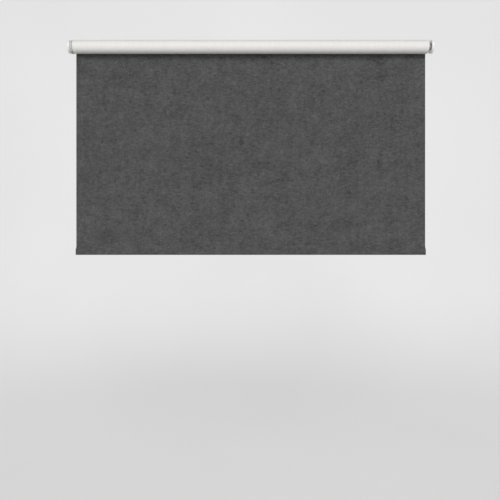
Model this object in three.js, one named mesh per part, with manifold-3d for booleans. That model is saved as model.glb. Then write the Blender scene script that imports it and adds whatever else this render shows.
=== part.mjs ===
// Roller blind for a window recess, with a rechargeable tube motor and no chain or cord.
//
// Frame: millimetres, +Z up, +X along the roller to the idle end, -Y to the room, +Y to the window.
// The origin is the middle of the roller's axis. The fabric hangs from the back of the roll.
// Each bracket stands with its outer face flat against one side of the recess.

import * as THREE from "three";
import { mergeVertices } from "three/addons/utils/BufferGeometryUtils.js";
import Module from "manifold-3d";

const wasm = await Module();
wasm.setup();

// ---- Driving dimensions ----

const RECESS_WIDTH = 1200; // outer face to outer face of the two brackets
const DROP = 688; // roller axis down to the lowest point of the bottom bar's end caps

const TUBE_RADIUS = 19;
const TUBE_WALL = 1;
const TUBE_RIB_HEIGHT = 1.5;
const TUBE_RIB_WIDTH = 3;

const FABRIC_THICKNESS = 0.33;
const FABRIC_WRAPS = 7; // turns of fabric on the tube at this drop
const FABRIC_INSET = 0.5; // tube end to fabric edge
const TAPE_THICKNESS = 0.2;
const TAPE_ARC = Math.PI / 4;

const PLATE_THICKNESS = 2;
const PLATE_RADIUS = 19.3;
const SCREW_PITCH = 26; // between the two screw holes of a bracket
const SCREW_HOLE_RADIUS = 2.3;
const SCREW_SINK_RADIUS = 4;
const COVER_RADIUS = 21.6;
const COVER_WALL = 1.6;
const COVER_DEPTH = 7.3; // reveal to the cover's inner face
const COVER_HOLE_RADIUS = 10.5;
const COVER_ROUNDING = 1.4;

const SPIGOT_SPAN = 14;
const SPIGOT_THICKNESS = 3;
const SPIGOT_LENGTH = 10.5;
const SPIGOT_BOSS_RADIUS = 8.6;

const HEAD_RADIUS = 20;
const HEAD_WIDTH = 6.5;
const HEAD_NECK_RADIUS = 14;
const HEAD_NECK_LENGTH = 14.5;
const HEAD_PLUG_LENGTH = 11;
const HEAD_ROUNDING = 0.8;

const SOCKET_WIDTH = 9; // charging socket, along Y
const SOCKET_HEIGHT = 3.2; // along X
const SOCKET_DEPTH = 6.5;
const SOCKET_SHELL = 0.3;
const SOCKET_RECESS = 0.8; // head's underside to the socket's mouth
const SOCKET_TONGUE = 0.8;
const CAP_ARC = 0.9; // angle that the charging socket's cap covers, in radians
const CAP_THICKNESS = 1;
const CAP_WIDTH = 5.6;
const CAP_HINGE_RADIUS = 0.9;
const BUTTON_RADIUS = 1.6;
const BUTTON_TRAVEL = 0.7;
const BUTTON_PROUD = 0.5;
const BUTTON_DEPTH = 4;
const BUTTON_ANGLE = -2.25; // from +Y towards +Z, in radians: low on the room side
const LIGHT_RADIUS = 0.9;
const LIGHT_ANGLE = -2.55;

const CASING_RADIUS = 12.5;
const CASING_WALL = 0.8;
const CASING_LENGTH = 459;
const CELL_RADIUS = 9.2;
const CELL_LENGTH = 65;
const CELL_COUNT = 3;
const CELL_SPACE = 2;
const BOARD_LENGTH = 118;
const BOARD_WIDTH = 18;
const BOARD_THICKNESS = 1.6;
const MOTOR_RADIUS = 10.8;
const MOTOR_LENGTH = 43;
const REDUCTION_LENGTH = 20;

const GEAR_MODULE = 0.5;
const SUN_TEETH = 12;
const PLANET_TEETH = 12;
const RING_TEETH = SUN_TEETH + 2 * PLANET_TEETH;
const PLANET_COUNT = 3;
const PLANET_WIDTH = 10;
const PLANET_PIN_RADIUS = 1;
const GEAR_BACKLASH = 0.16;
const GEAR_ADDENDUM = 0.75; // in modules
const GEAR_DEDENDUM = 1.2; // in modules
const PRESSURE_ANGLE = THREE.MathUtils.degToRad(22.5);
const CARRIER_THICKNESS = 3;
const SHAFT_RADIUS = 4;
const BUSH_LENGTH = 14;
const DRIVE_WHEEL_WIDTH = 20;
const CLIP_THICKNESS = 1;
const CLIP_RADIUS = 6;
const CLIP_GROOVE_RADIUS = 3;

const CROWN_FLANGE = 1;
const CROWN_DEPTH = 12;

const PIN_RADIUS = 4;
const PIN_TRAVEL = 9; // how far the idle pin can be pushed into the tube
const PIN_COLLAR_RADIUS = 6.6;
const PIN_COLLAR_WIDTH = 2.7;
const PLUG_DEPTH = 44;
const PLUG_FLANGE = 1.2;
const PLUG_FLANGE_PROUD = 1; // flange radius past the tube's
const PLUG_WALL = 4;
const PLUG_CAVITY_RADIUS = 8;
const SPRING_CAP_WIDTH = 3;
const SPRING_RADIUS = 5.9;
const SPRING_WIRE_RADIUS = 0.6;
const SPRING_TURNS = 7;
const IDLE_BOSS_RADIUS = 9;
const IDLE_BOSS_LENGTH = 7.5;

const BAR_HEIGHT = 20;
const BAR_DEPTH = 4.4;
const BAR_WALL = 1.1;
const BAR_CAP_HEIGHT = 22.5;
const BAR_CAP_DEPTH = 7.4;
const BAR_CAP_WIDTH = 1;
const BAR_CAP_TONGUE = 12;
const HEM_OVERLAP = 12; // height of the sealed flap above the pocket

// ---- Clearances ----

const REST_GAP = 0.3; // between pieces that rest on or clip into each other
const RUNNING_GAP = 0.25; // radial, between a shaft and its bearing
const SIDE_GAP = 0.4; // along X, between a turning piece and a still one
const LAYER_GAP = 0.1; // between the tube, the tape and the fabric

const ROUND = 48; // facets round a large turned piece
const SMALL_ROUND = 24;
const EPSILON = 0.01; // how far a cutter stands past the face that it cuts

// ---- Derived sizes and places ----

const HALF_WIDTH = RECESS_WIDTH / 2;
const TUBE_BORE = TUBE_RADIUS - TUBE_WALL;
const TAPE_RADIUS = TUBE_RADIUS + LAYER_GAP;
const ROLL_BORE = TAPE_RADIUS + TAPE_THICKNESS + LAYER_GAP;
const ROLL_RADIUS = ROLL_BORE + FABRIC_WRAPS * FABRIC_THICKNESS;

const PLATE_FACE = HALF_WIDTH - PLATE_THICKNESS;
const COVER_FACE = HALF_WIDTH - COVER_DEPTH;
const HEAD_OUTER = COVER_FACE - SIDE_GAP;
const HEAD_INNER = HEAD_OUTER - HEAD_WIDTH;
const CROWN_OUTER = HEAD_INNER - SIDE_GAP;
const TUBE_END = CROWN_OUTER - CROWN_FLANGE - LAYER_GAP;
const FABRIC_END = TUBE_END - FABRIC_INSET;

const NECK_END = HEAD_INNER - HEAD_NECK_LENGTH;
const PLUG_END = NECK_END - HEAD_PLUG_LENGTH;
const CASING_START = NECK_END - REST_GAP;
const CASING_END = CASING_START - CASING_LENGTH;
const CASING_BORE = CASING_RADIUS - CASING_WALL;
const INSIDE_CASING = CASING_BORE - REST_GAP;

const SUN_RADIUS = (GEAR_MODULE * SUN_TEETH) / 2;
const PLANET_RADIUS = (GEAR_MODULE * PLANET_TEETH) / 2;
const PLANET_ORBIT = SUN_RADIUS + PLANET_RADIUS;
const RING_RADIUS = (GEAR_MODULE * RING_TEETH) / 2;

const BUSH_START = CASING_END + BUSH_LENGTH;
const RING_END = BUSH_START + REST_GAP;
const CARRIER_FRONT = RING_END + RUNNING_GAP;
const CARRIER_BACK = CARRIER_FRONT + CARRIER_THICKNESS;
const PLANET_FRONT = CARRIER_BACK + RUNNING_GAP;
const PLANET_BACK = PLANET_FRONT + PLANET_WIDTH;
const RING_START = PLANET_BACK + 2;
const REDUCTION_FRONT = RING_START + REST_GAP;
const REDUCTION_BACK = REDUCTION_FRONT + REDUCTION_LENGTH;
const MOTOR_FRONT = REDUCTION_BACK + REST_GAP;
const MOTOR_BACK = MOTOR_FRONT + MOTOR_LENGTH;
const CELLS_START = PLUG_END - 8;

const PLUG_OUTER = TUBE_END + LAYER_GAP + PLUG_FLANGE;
const PLUG_INNER = TUBE_END - PLUG_DEPTH;
const PLUG_FLANGE_RADIUS = TUBE_RADIUS + PLUG_FLANGE_PROUD;
const COLLAR_FACE = PLUG_OUTER - PLUG_WALL - REST_GAP;
const SPRING_CAP_FACE = PLUG_INNER + SPRING_CAP_WIDTH + REST_GAP;
const PIN_TIP = PLATE_FACE - SIDE_GAP;

const DROP_PLANE = ROLL_RADIUS + REST_GAP + FABRIC_THICKNESS / 2;
const BAR_CENTRE = -DROP + BAR_CAP_HEIGHT / 2;
const POCKET_INSIDE = BAR_HEIGHT + 2 * REST_GAP;
const POCKET_TOP = BAR_CENTRE + POCKET_INSIDE / 2 + FABRIC_THICKNESS;

// ---- Materials ----

const finish = (color, roughness, metalness = 0) =>
  new THREE.MeshStandardMaterial({ color, roughness, metalness });

const whitePlastic = finish(0xf0efeb, 0.35);
const greyPlastic = finish(0xc9c9c6, 0.45);
const blackPlastic = finish(0x2b2b2d, 0.5);
const clearPlastic = finish(0xd8f0e0, 0.15);
const rubber = finish(0xb4b4b2, 0.8);
const zincSteel = finish(0xb8bbbf, 0.4, 0.9);
const springSteel = finish(0x8e9196, 0.3, 1);
const aluminium = finish(0xc8cacc, 0.35, 0.9);
const gearBrass = finish(0xb99a55, 0.35, 0.9);
const cellWrap = finish(0x2f6f8f, 0.5);
const boardGreen = finish(0x1f5a34, 0.6);
const tapeClear = finish(0xe6e3d6, 0.3);
const fabricCloth = finish(0x525252, 0.9);
const fabricBack = finish(0xebe9e4, 0.7);

// ---- Geometry helpers ----

function toSolid(geometry) {
  const bare = geometry.index ? geometry.toNonIndexed() : geometry.clone();
  bare.deleteAttribute("normal");
  bare.deleteAttribute("uv");
  const merged = mergeVertices(bare, 1e-4);
  return new wasm.Manifold(
    new wasm.Mesh({
      numProp: 3,
      vertProperties: merged.attributes.position.array,
      triVerts: new Uint32Array(merged.index.array),
    }),
  );
}

function toGeometry(solid) {
  const { vertProperties, triVerts } = solid.getMesh();
  return new THREE.BufferGeometry()
    .setAttribute("position", new THREE.BufferAttribute(vertProperties, 3))
    .setIndex(new THREE.BufferAttribute(triVerts, 1));
}

// A body turned about the X axis. Each profile point is [x, radius]; the outer wall runs towards +X.
function turned(profile, facets = ROUND) {
  const points = profile.map(([x, r]) => new THREE.Vector2(r, x));
  return toSolid(new THREE.LatheGeometry(points, facets).rotateZ(-Math.PI / 2));
}

function rod(x0, x1, radius, facets = ROUND) {
  const profile = [
    [x0, 0],
    [x0, radius],
    [x1, radius],
    [x1, 0],
  ];
  return turned(profile, facets);
}

function sleeve(x0, x1, bore, radius, facets = ROUND) {
  const profile = [
    [x0, bore],
    [x0, radius],
    [x1, radius],
    [x1, bore],
    [x0, bore],
  ];
  return turned(profile, facets);
}

// A flat outline drawn in (y, z) and pulled along X from x0 to x1.
const DRAWN_TO_ROW = new THREE.Matrix4().makeBasis(
  new THREE.Vector3(0, 1, 0),
  new THREE.Vector3(0, 0, 1),
  new THREE.Vector3(1, 0, 0),
);

function pulled(shape, x0, x1, curveSegments = 8) {
  const settings = { depth: x1 - x0, bevelEnabled: false, curveSegments };
  const geometry = new THREE.ExtrudeGeometry(shape, settings);
  return toSolid(geometry.applyMatrix4(DRAWN_TO_ROW).translate(x0, 0, 0));
}

function block(sizeX, sizeY, sizeZ, x, y, z) {
  return toSolid(new THREE.BoxGeometry(sizeX, sizeY, sizeZ).translate(x, y, z));
}

// A slot-shaped outline, tall along z, with round ends.
function stadium(centreY, centreZ, depth, height) {
  const radius = depth / 2;
  const reach = height / 2 - radius;
  const shape = new THREE.Shape();
  shape.absarc(centreY, centreZ + reach, radius, 0, Math.PI, false);
  shape.absarc(centreY, centreZ - reach, radius, Math.PI, 2 * Math.PI, false);
  shape.closePath();
  return shape;
}

// A cylinder that points out from the X axis at an angle from +Y towards +Z.
function radialRod(x, angle, innerRadius, outerRadius, radius, facets = SMALL_ROUND) {
  const length = outerRadius - innerRadius;
  const geometry = new THREE.CylinderGeometry(radius, radius, length, facets)
    .translate(0, innerRadius + length / 2, 0)
    .rotateX(angle)
    .translate(x, 0, 0);
  return toSolid(geometry);
}

// Each end of the blind is drawn at +X, and the motor end is turned round to -X.
const atMotorEnd = (solid) => solid.mirror([1, 0, 0]);

const blind = new THREE.Group();

function add(name, solid, material) {
  const mesh = new THREE.Mesh(toGeometry(solid), material);
  mesh.name = name;
  blind.add(mesh);
}

// ---- Brackets and their covers ----

function bracketPlate() {
  let plate = rod(PLATE_FACE, HALF_WIDTH, PLATE_RADIUS);
  for (const side of [-1, 1]) {
    const sink = [
      [PLATE_FACE - EPSILON, 0],
      [PLATE_FACE - EPSILON, SCREW_SINK_RADIUS],
      [HALF_WIDTH - 0.6, SCREW_HOLE_RADIUS],
      [HALF_WIDTH + EPSILON, SCREW_HOLE_RADIUS],
      [HALF_WIDTH + EPSILON, 0],
    ];
    const cutter = turned(sink, SMALL_ROUND);
    plate = plate.subtract(cutter.translate([0, 0, (side * SCREW_PITCH) / 2]));
  }
  return plate;
}

function crossOutline(span, thickness) {
  const [far, near] = [span / 2, thickness / 2];
  const shape = new THREE.Shape();
  shape.moveTo(far, -near);
  shape.lineTo(far, near).lineTo(near, near).lineTo(near, far).lineTo(-near, far);
  shape.lineTo(-near, near).lineTo(-far, near).lineTo(-far, -near).lineTo(-near, -near);
  shape.lineTo(-near, -far).lineTo(near, -far).lineTo(near, -near).closePath();
  return shape;
}

function motorBracket() {
  const boss = rod(PLATE_FACE - 2, PLATE_FACE + EPSILON, SPIGOT_BOSS_RADIUS);
  const outline = crossOutline(SPIGOT_SPAN, SPIGOT_THICKNESS);
  const spigot = pulled(outline, PLATE_FACE - SPIGOT_LENGTH, PLATE_FACE + EPSILON);
  return bracketPlate().add(boss).add(spigot);
}

function idleBracket() {
  const boss = rod(PLATE_FACE - IDLE_BOSS_LENGTH, PLATE_FACE + EPSILON, IDLE_BOSS_RADIUS);
  const seat = rod(0, PLATE_FACE, PIN_RADIUS + RUNNING_GAP);
  return bracketPlate().add(boss).subtract(seat);
}

function bracketCover() {
  const rim = HALF_WIDTH - REST_GAP / 2;
  const inside = COVER_RADIUS - COVER_WALL;
  const profile = [[rim, inside], [COVER_FACE + COVER_WALL, inside]];
  profile.push([COVER_FACE + COVER_WALL, COVER_HOLE_RADIUS], [COVER_FACE, COVER_HOLE_RADIUS]);
  const steps = 5;
  for (let i = 0; i <= steps; i += 1) {
    const turn = ((i / steps) * Math.PI) / 2;
    const x = COVER_FACE + COVER_ROUNDING * (1 - Math.sin(turn));
    const r = COVER_RADIUS - COVER_ROUNDING * (1 - Math.cos(turn));
    profile.splice(4, 0, [x, r]);
  }
  profile.push([rim, COVER_RADIUS], [rim, inside]);
  return turned(profile);
}

add("motor_bracket", atMotorEnd(motorBracket()), zincSteel);
add("motor_bracket_cover", atMotorEnd(bracketCover()), whitePlastic);
add("idle_bracket", idleBracket(), zincSteel);
add("idle_bracket_cover", bracketCover(), whitePlastic);

// ---- Motor head, with its charging socket, button and light ----

const HEAD_MIDDLE = (HEAD_OUTER + HEAD_INNER) / 2;
const SOCKET_TOP = -HEAD_RADIUS + SOCKET_RECESS + SOCKET_DEPTH;

function motorHead() {
  const profile = [
    [PLUG_END, 0],
    [PLUG_END, INSIDE_CASING],
    [NECK_END, INSIDE_CASING],
    [NECK_END, HEAD_NECK_RADIUS],
    [HEAD_INNER, HEAD_NECK_RADIUS],
    [HEAD_INNER, HEAD_RADIUS - HEAD_ROUNDING],
    [HEAD_INNER + HEAD_ROUNDING, HEAD_RADIUS],
    [HEAD_OUTER - HEAD_ROUNDING, HEAD_RADIUS],
    [HEAD_OUTER, HEAD_RADIUS - HEAD_ROUNDING],
    [HEAD_OUTER, 0],
  ];
  const seatEnd = PLATE_FACE - SPIGOT_LENGTH - SIDE_GAP;
  const outline = crossOutline(SPIGOT_SPAN + 2 * REST_GAP, SPIGOT_THICKNESS + 2 * REST_GAP);
  const crossSeat = pulled(outline, seatEnd, HEAD_OUTER + 1);
  const roomDepth = SOCKET_DEPTH + REST_GAP + 2;
  const socketRoom = block(
    SOCKET_HEIGHT + 2 * REST_GAP,
    SOCKET_WIDTH + 2 * REST_GAP,
    roomDepth,
    HEAD_MIDDLE,
    0,
    SOCKET_TOP + REST_GAP - roomDepth / 2,
  );
  const buttonInner = HEAD_RADIUS - BUTTON_DEPTH - BUTTON_TRAVEL - REST_GAP;
  const buttonHole = radialRod(
    HEAD_MIDDLE, BUTTON_ANGLE, buttonInner, HEAD_RADIUS + 2, BUTTON_RADIUS + RUNNING_GAP,
  );
  const lightHole = radialRod(
    HEAD_MIDDLE, LIGHT_ANGLE, HEAD_RADIUS - 3 - REST_GAP, HEAD_RADIUS + 2,
    LIGHT_RADIUS + REST_GAP,
  );
  return turned(profile)
    .subtract(crossSeat)
    .subtract(socketRoom)
    .subtract(buttonHole)
    .subtract(lightHole);
}

function chargeSocket() {
  const middle = SOCKET_TOP - SOCKET_DEPTH / 2;
  const shell = block(SOCKET_HEIGHT, SOCKET_WIDTH, SOCKET_DEPTH, HEAD_MIDDLE, 0, middle);
  const mouth = block(
    SOCKET_HEIGHT - 2 * SOCKET_SHELL,
    SOCKET_WIDTH - 2 * SOCKET_SHELL,
    SOCKET_DEPTH,
    HEAD_MIDDLE,
    0,
    middle - 1,
  );
  const tongue = block(
    SOCKET_TONGUE, SOCKET_WIDTH - 2.4, SOCKET_DEPTH - 1.4, HEAD_MIDDLE, 0, middle + 0.7,
  );
  return shell.subtract(mouth).add(tongue);
}

// The cap is a thin arc under the head, on a round hinge bead at its window side.
const CAP_INNER = HEAD_RADIUS + REST_GAP;
const CAP_HINGE_ANGLE = -Math.PI / 2 + CAP_ARC / 2;
const CAP_HINGE_ORBIT = CAP_INNER + CAP_HINGE_RADIUS;

function chargePortCap() {
  const outer = CAP_INNER + CAP_THICKNESS;
  const [start, end] = [-Math.PI / 2 - CAP_ARC / 2, CAP_HINGE_ANGLE];
  const shape = new THREE.Shape();
  shape.absarc(0, 0, outer, start, end, false);
  shape.absarc(0, 0, CAP_INNER, end, start, true);
  shape.closePath();
  const x0 = HEAD_MIDDLE - CAP_WIDTH / 2;
  const leaf = pulled(shape, x0, x0 + CAP_WIDTH);
  const bead = rod(x0, x0 + CAP_WIDTH, CAP_HINGE_RADIUS, SMALL_ROUND).translate([
    0,
    CAP_HINGE_ORBIT * Math.cos(CAP_HINGE_ANGLE),
    CAP_HINGE_ORBIT * Math.sin(CAP_HINGE_ANGLE),
  ]);
  return leaf.add(bead);
}

function programButton() {
  const inner = HEAD_RADIUS - BUTTON_DEPTH;
  const outer = HEAD_RADIUS + BUTTON_PROUD;
  return radialRod(HEAD_MIDDLE, BUTTON_ANGLE, inner, outer, BUTTON_RADIUS);
}

function statusLight() {
  return radialRod(
    HEAD_MIDDLE, LIGHT_ANGLE, HEAD_RADIUS - 3, HEAD_RADIUS + 0.1, LIGHT_RADIUS,
  );
}

add("motor_head", atMotorEnd(motorHead()), greyPlastic);
add("charge_socket", atMotorEnd(chargeSocket()), zincSteel);
add("charge_port_cap", atMotorEnd(chargePortCap()), rubber);
add("program_button", atMotorEnd(programButton()), whitePlastic);
add("status_light", atMotorEnd(statusLight()), clearPlastic);

// ---- Motor casing and what is sealed in it ----

function batteryCell(index) {
  const start = CELLS_START - index * (CELL_LENGTH + CELL_SPACE);
  const end = start - CELL_LENGTH;
  const profile = [
    [end, 0],
    [end, CELL_RADIUS - 0.6],
    [end + 0.6, CELL_RADIUS],
    [start - 2.4, CELL_RADIUS],
    [start - 1.8, CELL_RADIUS - 0.6],
    [start - 1.8, 3],
    [start, 3],
    [start, 0],
  ];
  return turned(profile, SMALL_ROUND);
}

const BOARD_START = CELLS_START - CELL_COUNT * (CELL_LENGTH + CELL_SPACE) - 6;

function controlBoard() {
  const middle = BOARD_START - BOARD_LENGTH / 2;
  const top = BOARD_THICKNESS / 2;
  let board = block(BOARD_LENGTH, BOARD_WIDTH, BOARD_THICKNESS, middle, 0, 0);
  const fitted = [
    { along: 12, across: 0, sizeX: 8, sizeY: 10, sizeZ: 5 }, // battery connector
    { along: 34, across: 0, sizeX: 9, sizeY: 9, sizeZ: 1.6 }, // processor
    { along: 52, across: -3.5, sizeX: 12, sizeY: 8, sizeZ: 4 }, // radio receiver
    { along: 74, across: 3.5, sizeX: 7, sizeY: 6, sizeZ: 2.4 }, // switching transistors
    { along: 74, across: -4, sizeX: 7, sizeY: 6, sizeZ: 2.4 },
    { along: 104, across: 0, sizeX: 9, sizeY: 10, sizeZ: 5 }, // motor connector
  ];
  for (const { along, across, sizeX, sizeY, sizeZ } of fitted) {
    const x = BOARD_START - along;
    board = board.add(
      block(sizeX, sizeY, sizeZ + EPSILON, x, across, top + sizeZ / 2 - EPSILON),
    );
  }
  const capacitor = rod(0, 11, 3, SMALL_ROUND).translate([BOARD_START - 97, 0, -top - 2.9]);
  return board.add(capacitor);
}

function dcMotor() {
  const profile = [
    [MOTOR_FRONT, 0],
    [MOTOR_FRONT, MOTOR_RADIUS],
    [MOTOR_BACK - 3, MOTOR_RADIUS],
    [MOTOR_BACK - 1, MOTOR_RADIUS - 2],
    [MOTOR_BACK - 1, 4],
    [MOTOR_BACK, 4],
    [MOTOR_BACK, 0],
  ];
  return turned(profile);
}

const SUN_STUB_RADIUS = 1.4;
const SUN_STUB_LENGTH = 4;

function reductionUnit() {
  const body = rod(REDUCTION_FRONT, REDUCTION_BACK, INSIDE_CASING);
  const socket = rod(
    REDUCTION_FRONT - 1,
    REDUCTION_FRONT + SUN_STUB_LENGTH + REST_GAP,
    SUN_STUB_RADIUS + RUNNING_GAP,
    SMALL_ROUND,
  );
  return body.subtract(socket);
}

const involute = (angle) => Math.tan(angle) - angle;

// The closed outline of an involute gear. A positive backlash thins its teeth.
function gearOutline(teeth, tipRadius, rootRadius, backlash, phase) {
  const pitchRadius = (GEAR_MODULE * teeth) / 2;
  const baseRadius = pitchRadius * Math.cos(PRESSURE_ANGLE);
  const halfAtPitch = Math.PI / (2 * teeth) - backlash / (2 * pitchRadius);
  const halfAt = (radius) => {
    const pressure = Math.acos(Math.min(1, baseRadius / radius));
    return halfAtPitch + involute(PRESSURE_ANGLE) - involute(pressure);
  };
  const flankStart = Math.max(rootRadius, baseRadius);
  const radii = [rootRadius];
  const steps = 3;
  for (let i = 0; i <= steps; i += 1) {
    const radius = flankStart + ((tipRadius - flankStart) * i) / steps;
    if (radius > radii[radii.length - 1] + 1e-6) radii.push(radius);
  }
  const points = [];
  for (let tooth = 0; tooth < teeth; tooth += 1) {
    const centre = phase + (2 * Math.PI * tooth) / teeth;
    const flank = (radius, side) => {
      const angle = centre + side * halfAt(radius);
      points.push(new THREE.Vector2(radius * Math.cos(angle), radius * Math.sin(angle)));
    };
    radii.forEach((radius) => flank(radius, -1));
    [...radii].reverse().forEach((radius) => flank(radius, 1));
  }
  return points;
}

function spurGear(teeth, x0, x1, bore, phase) {
  const radius = (GEAR_MODULE * teeth) / 2;
  const tip = radius + GEAR_ADDENDUM * GEAR_MODULE;
  const root = radius - GEAR_DEDENDUM * GEAR_MODULE;
  const shape = new THREE.Shape(gearOutline(teeth, tip, root, GEAR_BACKLASH, phase));
  if (bore) {
    const hole = new THREE.Path();
    hole.absarc(0, 0, bore, 0, 2 * Math.PI, true);
    shape.holes.push(hole);
  }
  return pulled(shape, x0, x1, 6);
}

function ringGear() {
  const tip = RING_RADIUS + GEAR_DEDENDUM * GEAR_MODULE;
  const root = RING_RADIUS - GEAR_ADDENDUM * GEAR_MODULE;
  const phase = Math.PI / RING_TEETH;
  const hole = new THREE.Shape(gearOutline(RING_TEETH, tip, root, -GEAR_BACKLASH, phase));
  const body = rod(RING_END, RING_START, INSIDE_CASING);
  return body.subtract(pulled(hole, RING_END - 1, RING_START + 1));
}

function sunGear() {
  const gear = spurGear(SUN_TEETH, PLANET_FRONT, REDUCTION_FRONT - 0.5, 0, 0);
  const stubEnd = REDUCTION_FRONT + SUN_STUB_LENGTH;
  return gear.add(rod(REDUCTION_FRONT - 1, stubEnd, SUN_STUB_RADIUS, SMALL_ROUND));
}

function planetGear(index) {
  const around = (2 * Math.PI * index) / PLANET_COUNT;
  const phase = around + Math.PI + Math.PI / PLANET_TEETH;
  const bore = PLANET_PIN_RADIUS + RUNNING_GAP;
  const gear = spurGear(PLANET_TEETH, PLANET_FRONT, PLANET_BACK, bore, phase);
  return gear.translate([0, PLANET_ORBIT * Math.cos(around), PLANET_ORBIT * Math.sin(around)]);
}

const WHEEL_START = CASING_END - 5;
const WHEEL_END = WHEEL_START - DRIVE_WHEEL_WIDTH;
const CLIP_START = WHEEL_END - REST_GAP;
const SHAFT_END = CLIP_START - CLIP_THICKNESS - 1.5;

function hexagon(acrossCorners) {
  const corners = [];
  for (let i = 0; i < 6; i += 1) {
    const angle = (i * Math.PI) / 3;
    const reach = acrossCorners / 2;
    corners.push(new THREE.Vector2(reach * Math.cos(angle), reach * Math.sin(angle)));
  }
  return new THREE.Shape(corners);
}

function planetCarrier() {
  const plateRadius = PLANET_ORBIT + PLANET_PIN_RADIUS + 1.2;
  let carrier = rod(CARRIER_FRONT, CARRIER_BACK, plateRadius, SMALL_ROUND);
  carrier = carrier.add(rod(CASING_END, CARRIER_BACK - 1, SHAFT_RADIUS, SMALL_ROUND));
  carrier = carrier.add(pulled(hexagon(2 * SHAFT_RADIUS), SHAFT_END, CASING_END + 1));
  for (let i = 0; i < PLANET_COUNT; i += 1) {
    const around = (2 * Math.PI * i) / PLANET_COUNT;
    const pin = rod(CARRIER_BACK - 1, PLANET_BACK + 0.8, PLANET_PIN_RADIUS, 12);
    const place = [0, PLANET_ORBIT * Math.cos(around), PLANET_ORBIT * Math.sin(around)];
    carrier = carrier.add(pin.translate(place));
  }
  const groove = sleeve(
    CLIP_START - CLIP_THICKNESS - 0.1, CLIP_START + 0.1, CLIP_GROOVE_RADIUS, SHAFT_RADIUS + 1,
    SMALL_ROUND,
  );
  return carrier.subtract(groove);
}

// The clip has an open side, so that it presses onto its groove.
function shaftClip() {
  const start = CLIP_START - CLIP_THICKNESS;
  const ring = sleeve(start, CLIP_START, CLIP_GROOVE_RADIUS + 0.1, CLIP_RADIUS, SMALL_ROUND);
  const gap = block(CLIP_THICKNESS + 1, 2 * CLIP_RADIUS, 4, start + 0.5, CLIP_RADIUS, 0);
  return ring.subtract(gap);
}

function outputBush() {
  const bore = SHAFT_RADIUS + RUNNING_GAP;
  return sleeve(CASING_END + 0.5, BUSH_START, bore, INSIDE_CASING);
}

add("motor_casing", atMotorEnd(sleeve(CASING_END, CASING_START, CASING_BORE, CASING_RADIUS)), aluminium);
for (let i = 0; i < CELL_COUNT; i += 1) {
  add(`battery_cell_${i + 1}`, atMotorEnd(batteryCell(i)), cellWrap);
}
add("control_board", atMotorEnd(controlBoard()), boardGreen);
add("dc_motor", atMotorEnd(dcMotor()), zincSteel);
add("reduction_unit", atMotorEnd(reductionUnit()), zincSteel);
add("ring_gear", atMotorEnd(ringGear()), gearBrass);
add("sun_gear", atMotorEnd(sunGear()), gearBrass);
for (let i = 0; i < PLANET_COUNT; i += 1) {
  add(`planet_gear_${i + 1}`, atMotorEnd(planetGear(i)), gearBrass);
}
add("output_bush", atMotorEnd(outputBush()), blackPlastic);
add("planet_carrier", atMotorEnd(planetCarrier()), zincSteel);
add("shaft_clip", atMotorEnd(shaftClip()), springSteel);

// ---- Roller tube, and the crown and wheel that turn it ----

function tubeRibs(bore, width, x0, x1) {
  const height = TUBE_BORE - bore + 0.5;
  const middle = bore + height / 2;
  const length = x1 - x0;
  const near = block(length, height, width, (x0 + x1) / 2, middle, 0);
  return near.add(block(length, height, width, (x0 + x1) / 2, -middle, 0));
}

function rollerTube() {
  const wall = sleeve(-TUBE_END, TUBE_END, TUBE_BORE, TUBE_RADIUS);
  const bore = TUBE_BORE - TUBE_RIB_HEIGHT;
  return wall.add(tubeRibs(bore, TUBE_RIB_WIDTH, -TUBE_END, TUBE_END));
}

// What seats in the tube is cut round the two ribs, which turn it or are turned by it.
function keyedToTube(solid, x0, x1) {
  const bore = TUBE_BORE - TUBE_RIB_HEIGHT - REST_GAP;
  return solid.subtract(tubeRibs(bore, TUBE_RIB_WIDTH + 2 * REST_GAP, x0, x1));
}

const IN_TUBE = TUBE_BORE - REST_GAP;

function crownRing() {
  const bore = HEAD_NECK_RADIUS + RUNNING_GAP;
  const inner = TUBE_END - CROWN_DEPTH;
  const profile = [
    [inner, bore],
    [inner, IN_TUBE],
    [CROWN_OUTER - CROWN_FLANGE, IN_TUBE],
    [CROWN_OUTER - CROWN_FLANGE, TUBE_RADIUS],
    [CROWN_OUTER, TUBE_RADIUS],
    [CROWN_OUTER, bore],
    [inner, bore],
  ];
  return keyedToTube(turned(profile), inner - 1, CROWN_OUTER - CROWN_FLANGE);
}

function driveWheel() {
  const rim = sleeve(WHEEL_END, WHEEL_START, IN_TUBE - 3, IN_TUBE);
  const hub = rod(WHEEL_END, WHEEL_START, SHAFT_RADIUS + 3, SMALL_ROUND);
  let wheel = rim.add(hub);
  const spokes = 6;
  for (let i = 0; i < spokes; i += 1) {
    const spoke = block(DRIVE_WHEEL_WIDTH, IN_TUBE - 7, 2, 0, (IN_TUBE - 7) / 2 + 5, 0)
      .rotate([(360 * i) / spokes + 30, 0, 0])
      .translate([(WHEEL_START + WHEEL_END) / 2, 0, 0]);
    wheel = wheel.add(spoke);
  }
  const hexBore = pulled(hexagon(2 * SHAFT_RADIUS + 2 * RUNNING_GAP), WHEEL_END - 1, WHEEL_START + 1);
  return keyedToTube(wheel.subtract(hexBore), WHEEL_END - 1, WHEEL_START + 1);
}

add("roller_tube", rollerTube(), aluminium);
add("crown_ring", atMotorEnd(crownRing()), greyPlastic);
add("drive_wheel", atMotorEnd(driveWheel()), blackPlastic);

// ---- Idle end: a plug in the tube, with a pin that springs out into the bracket ----

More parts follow.
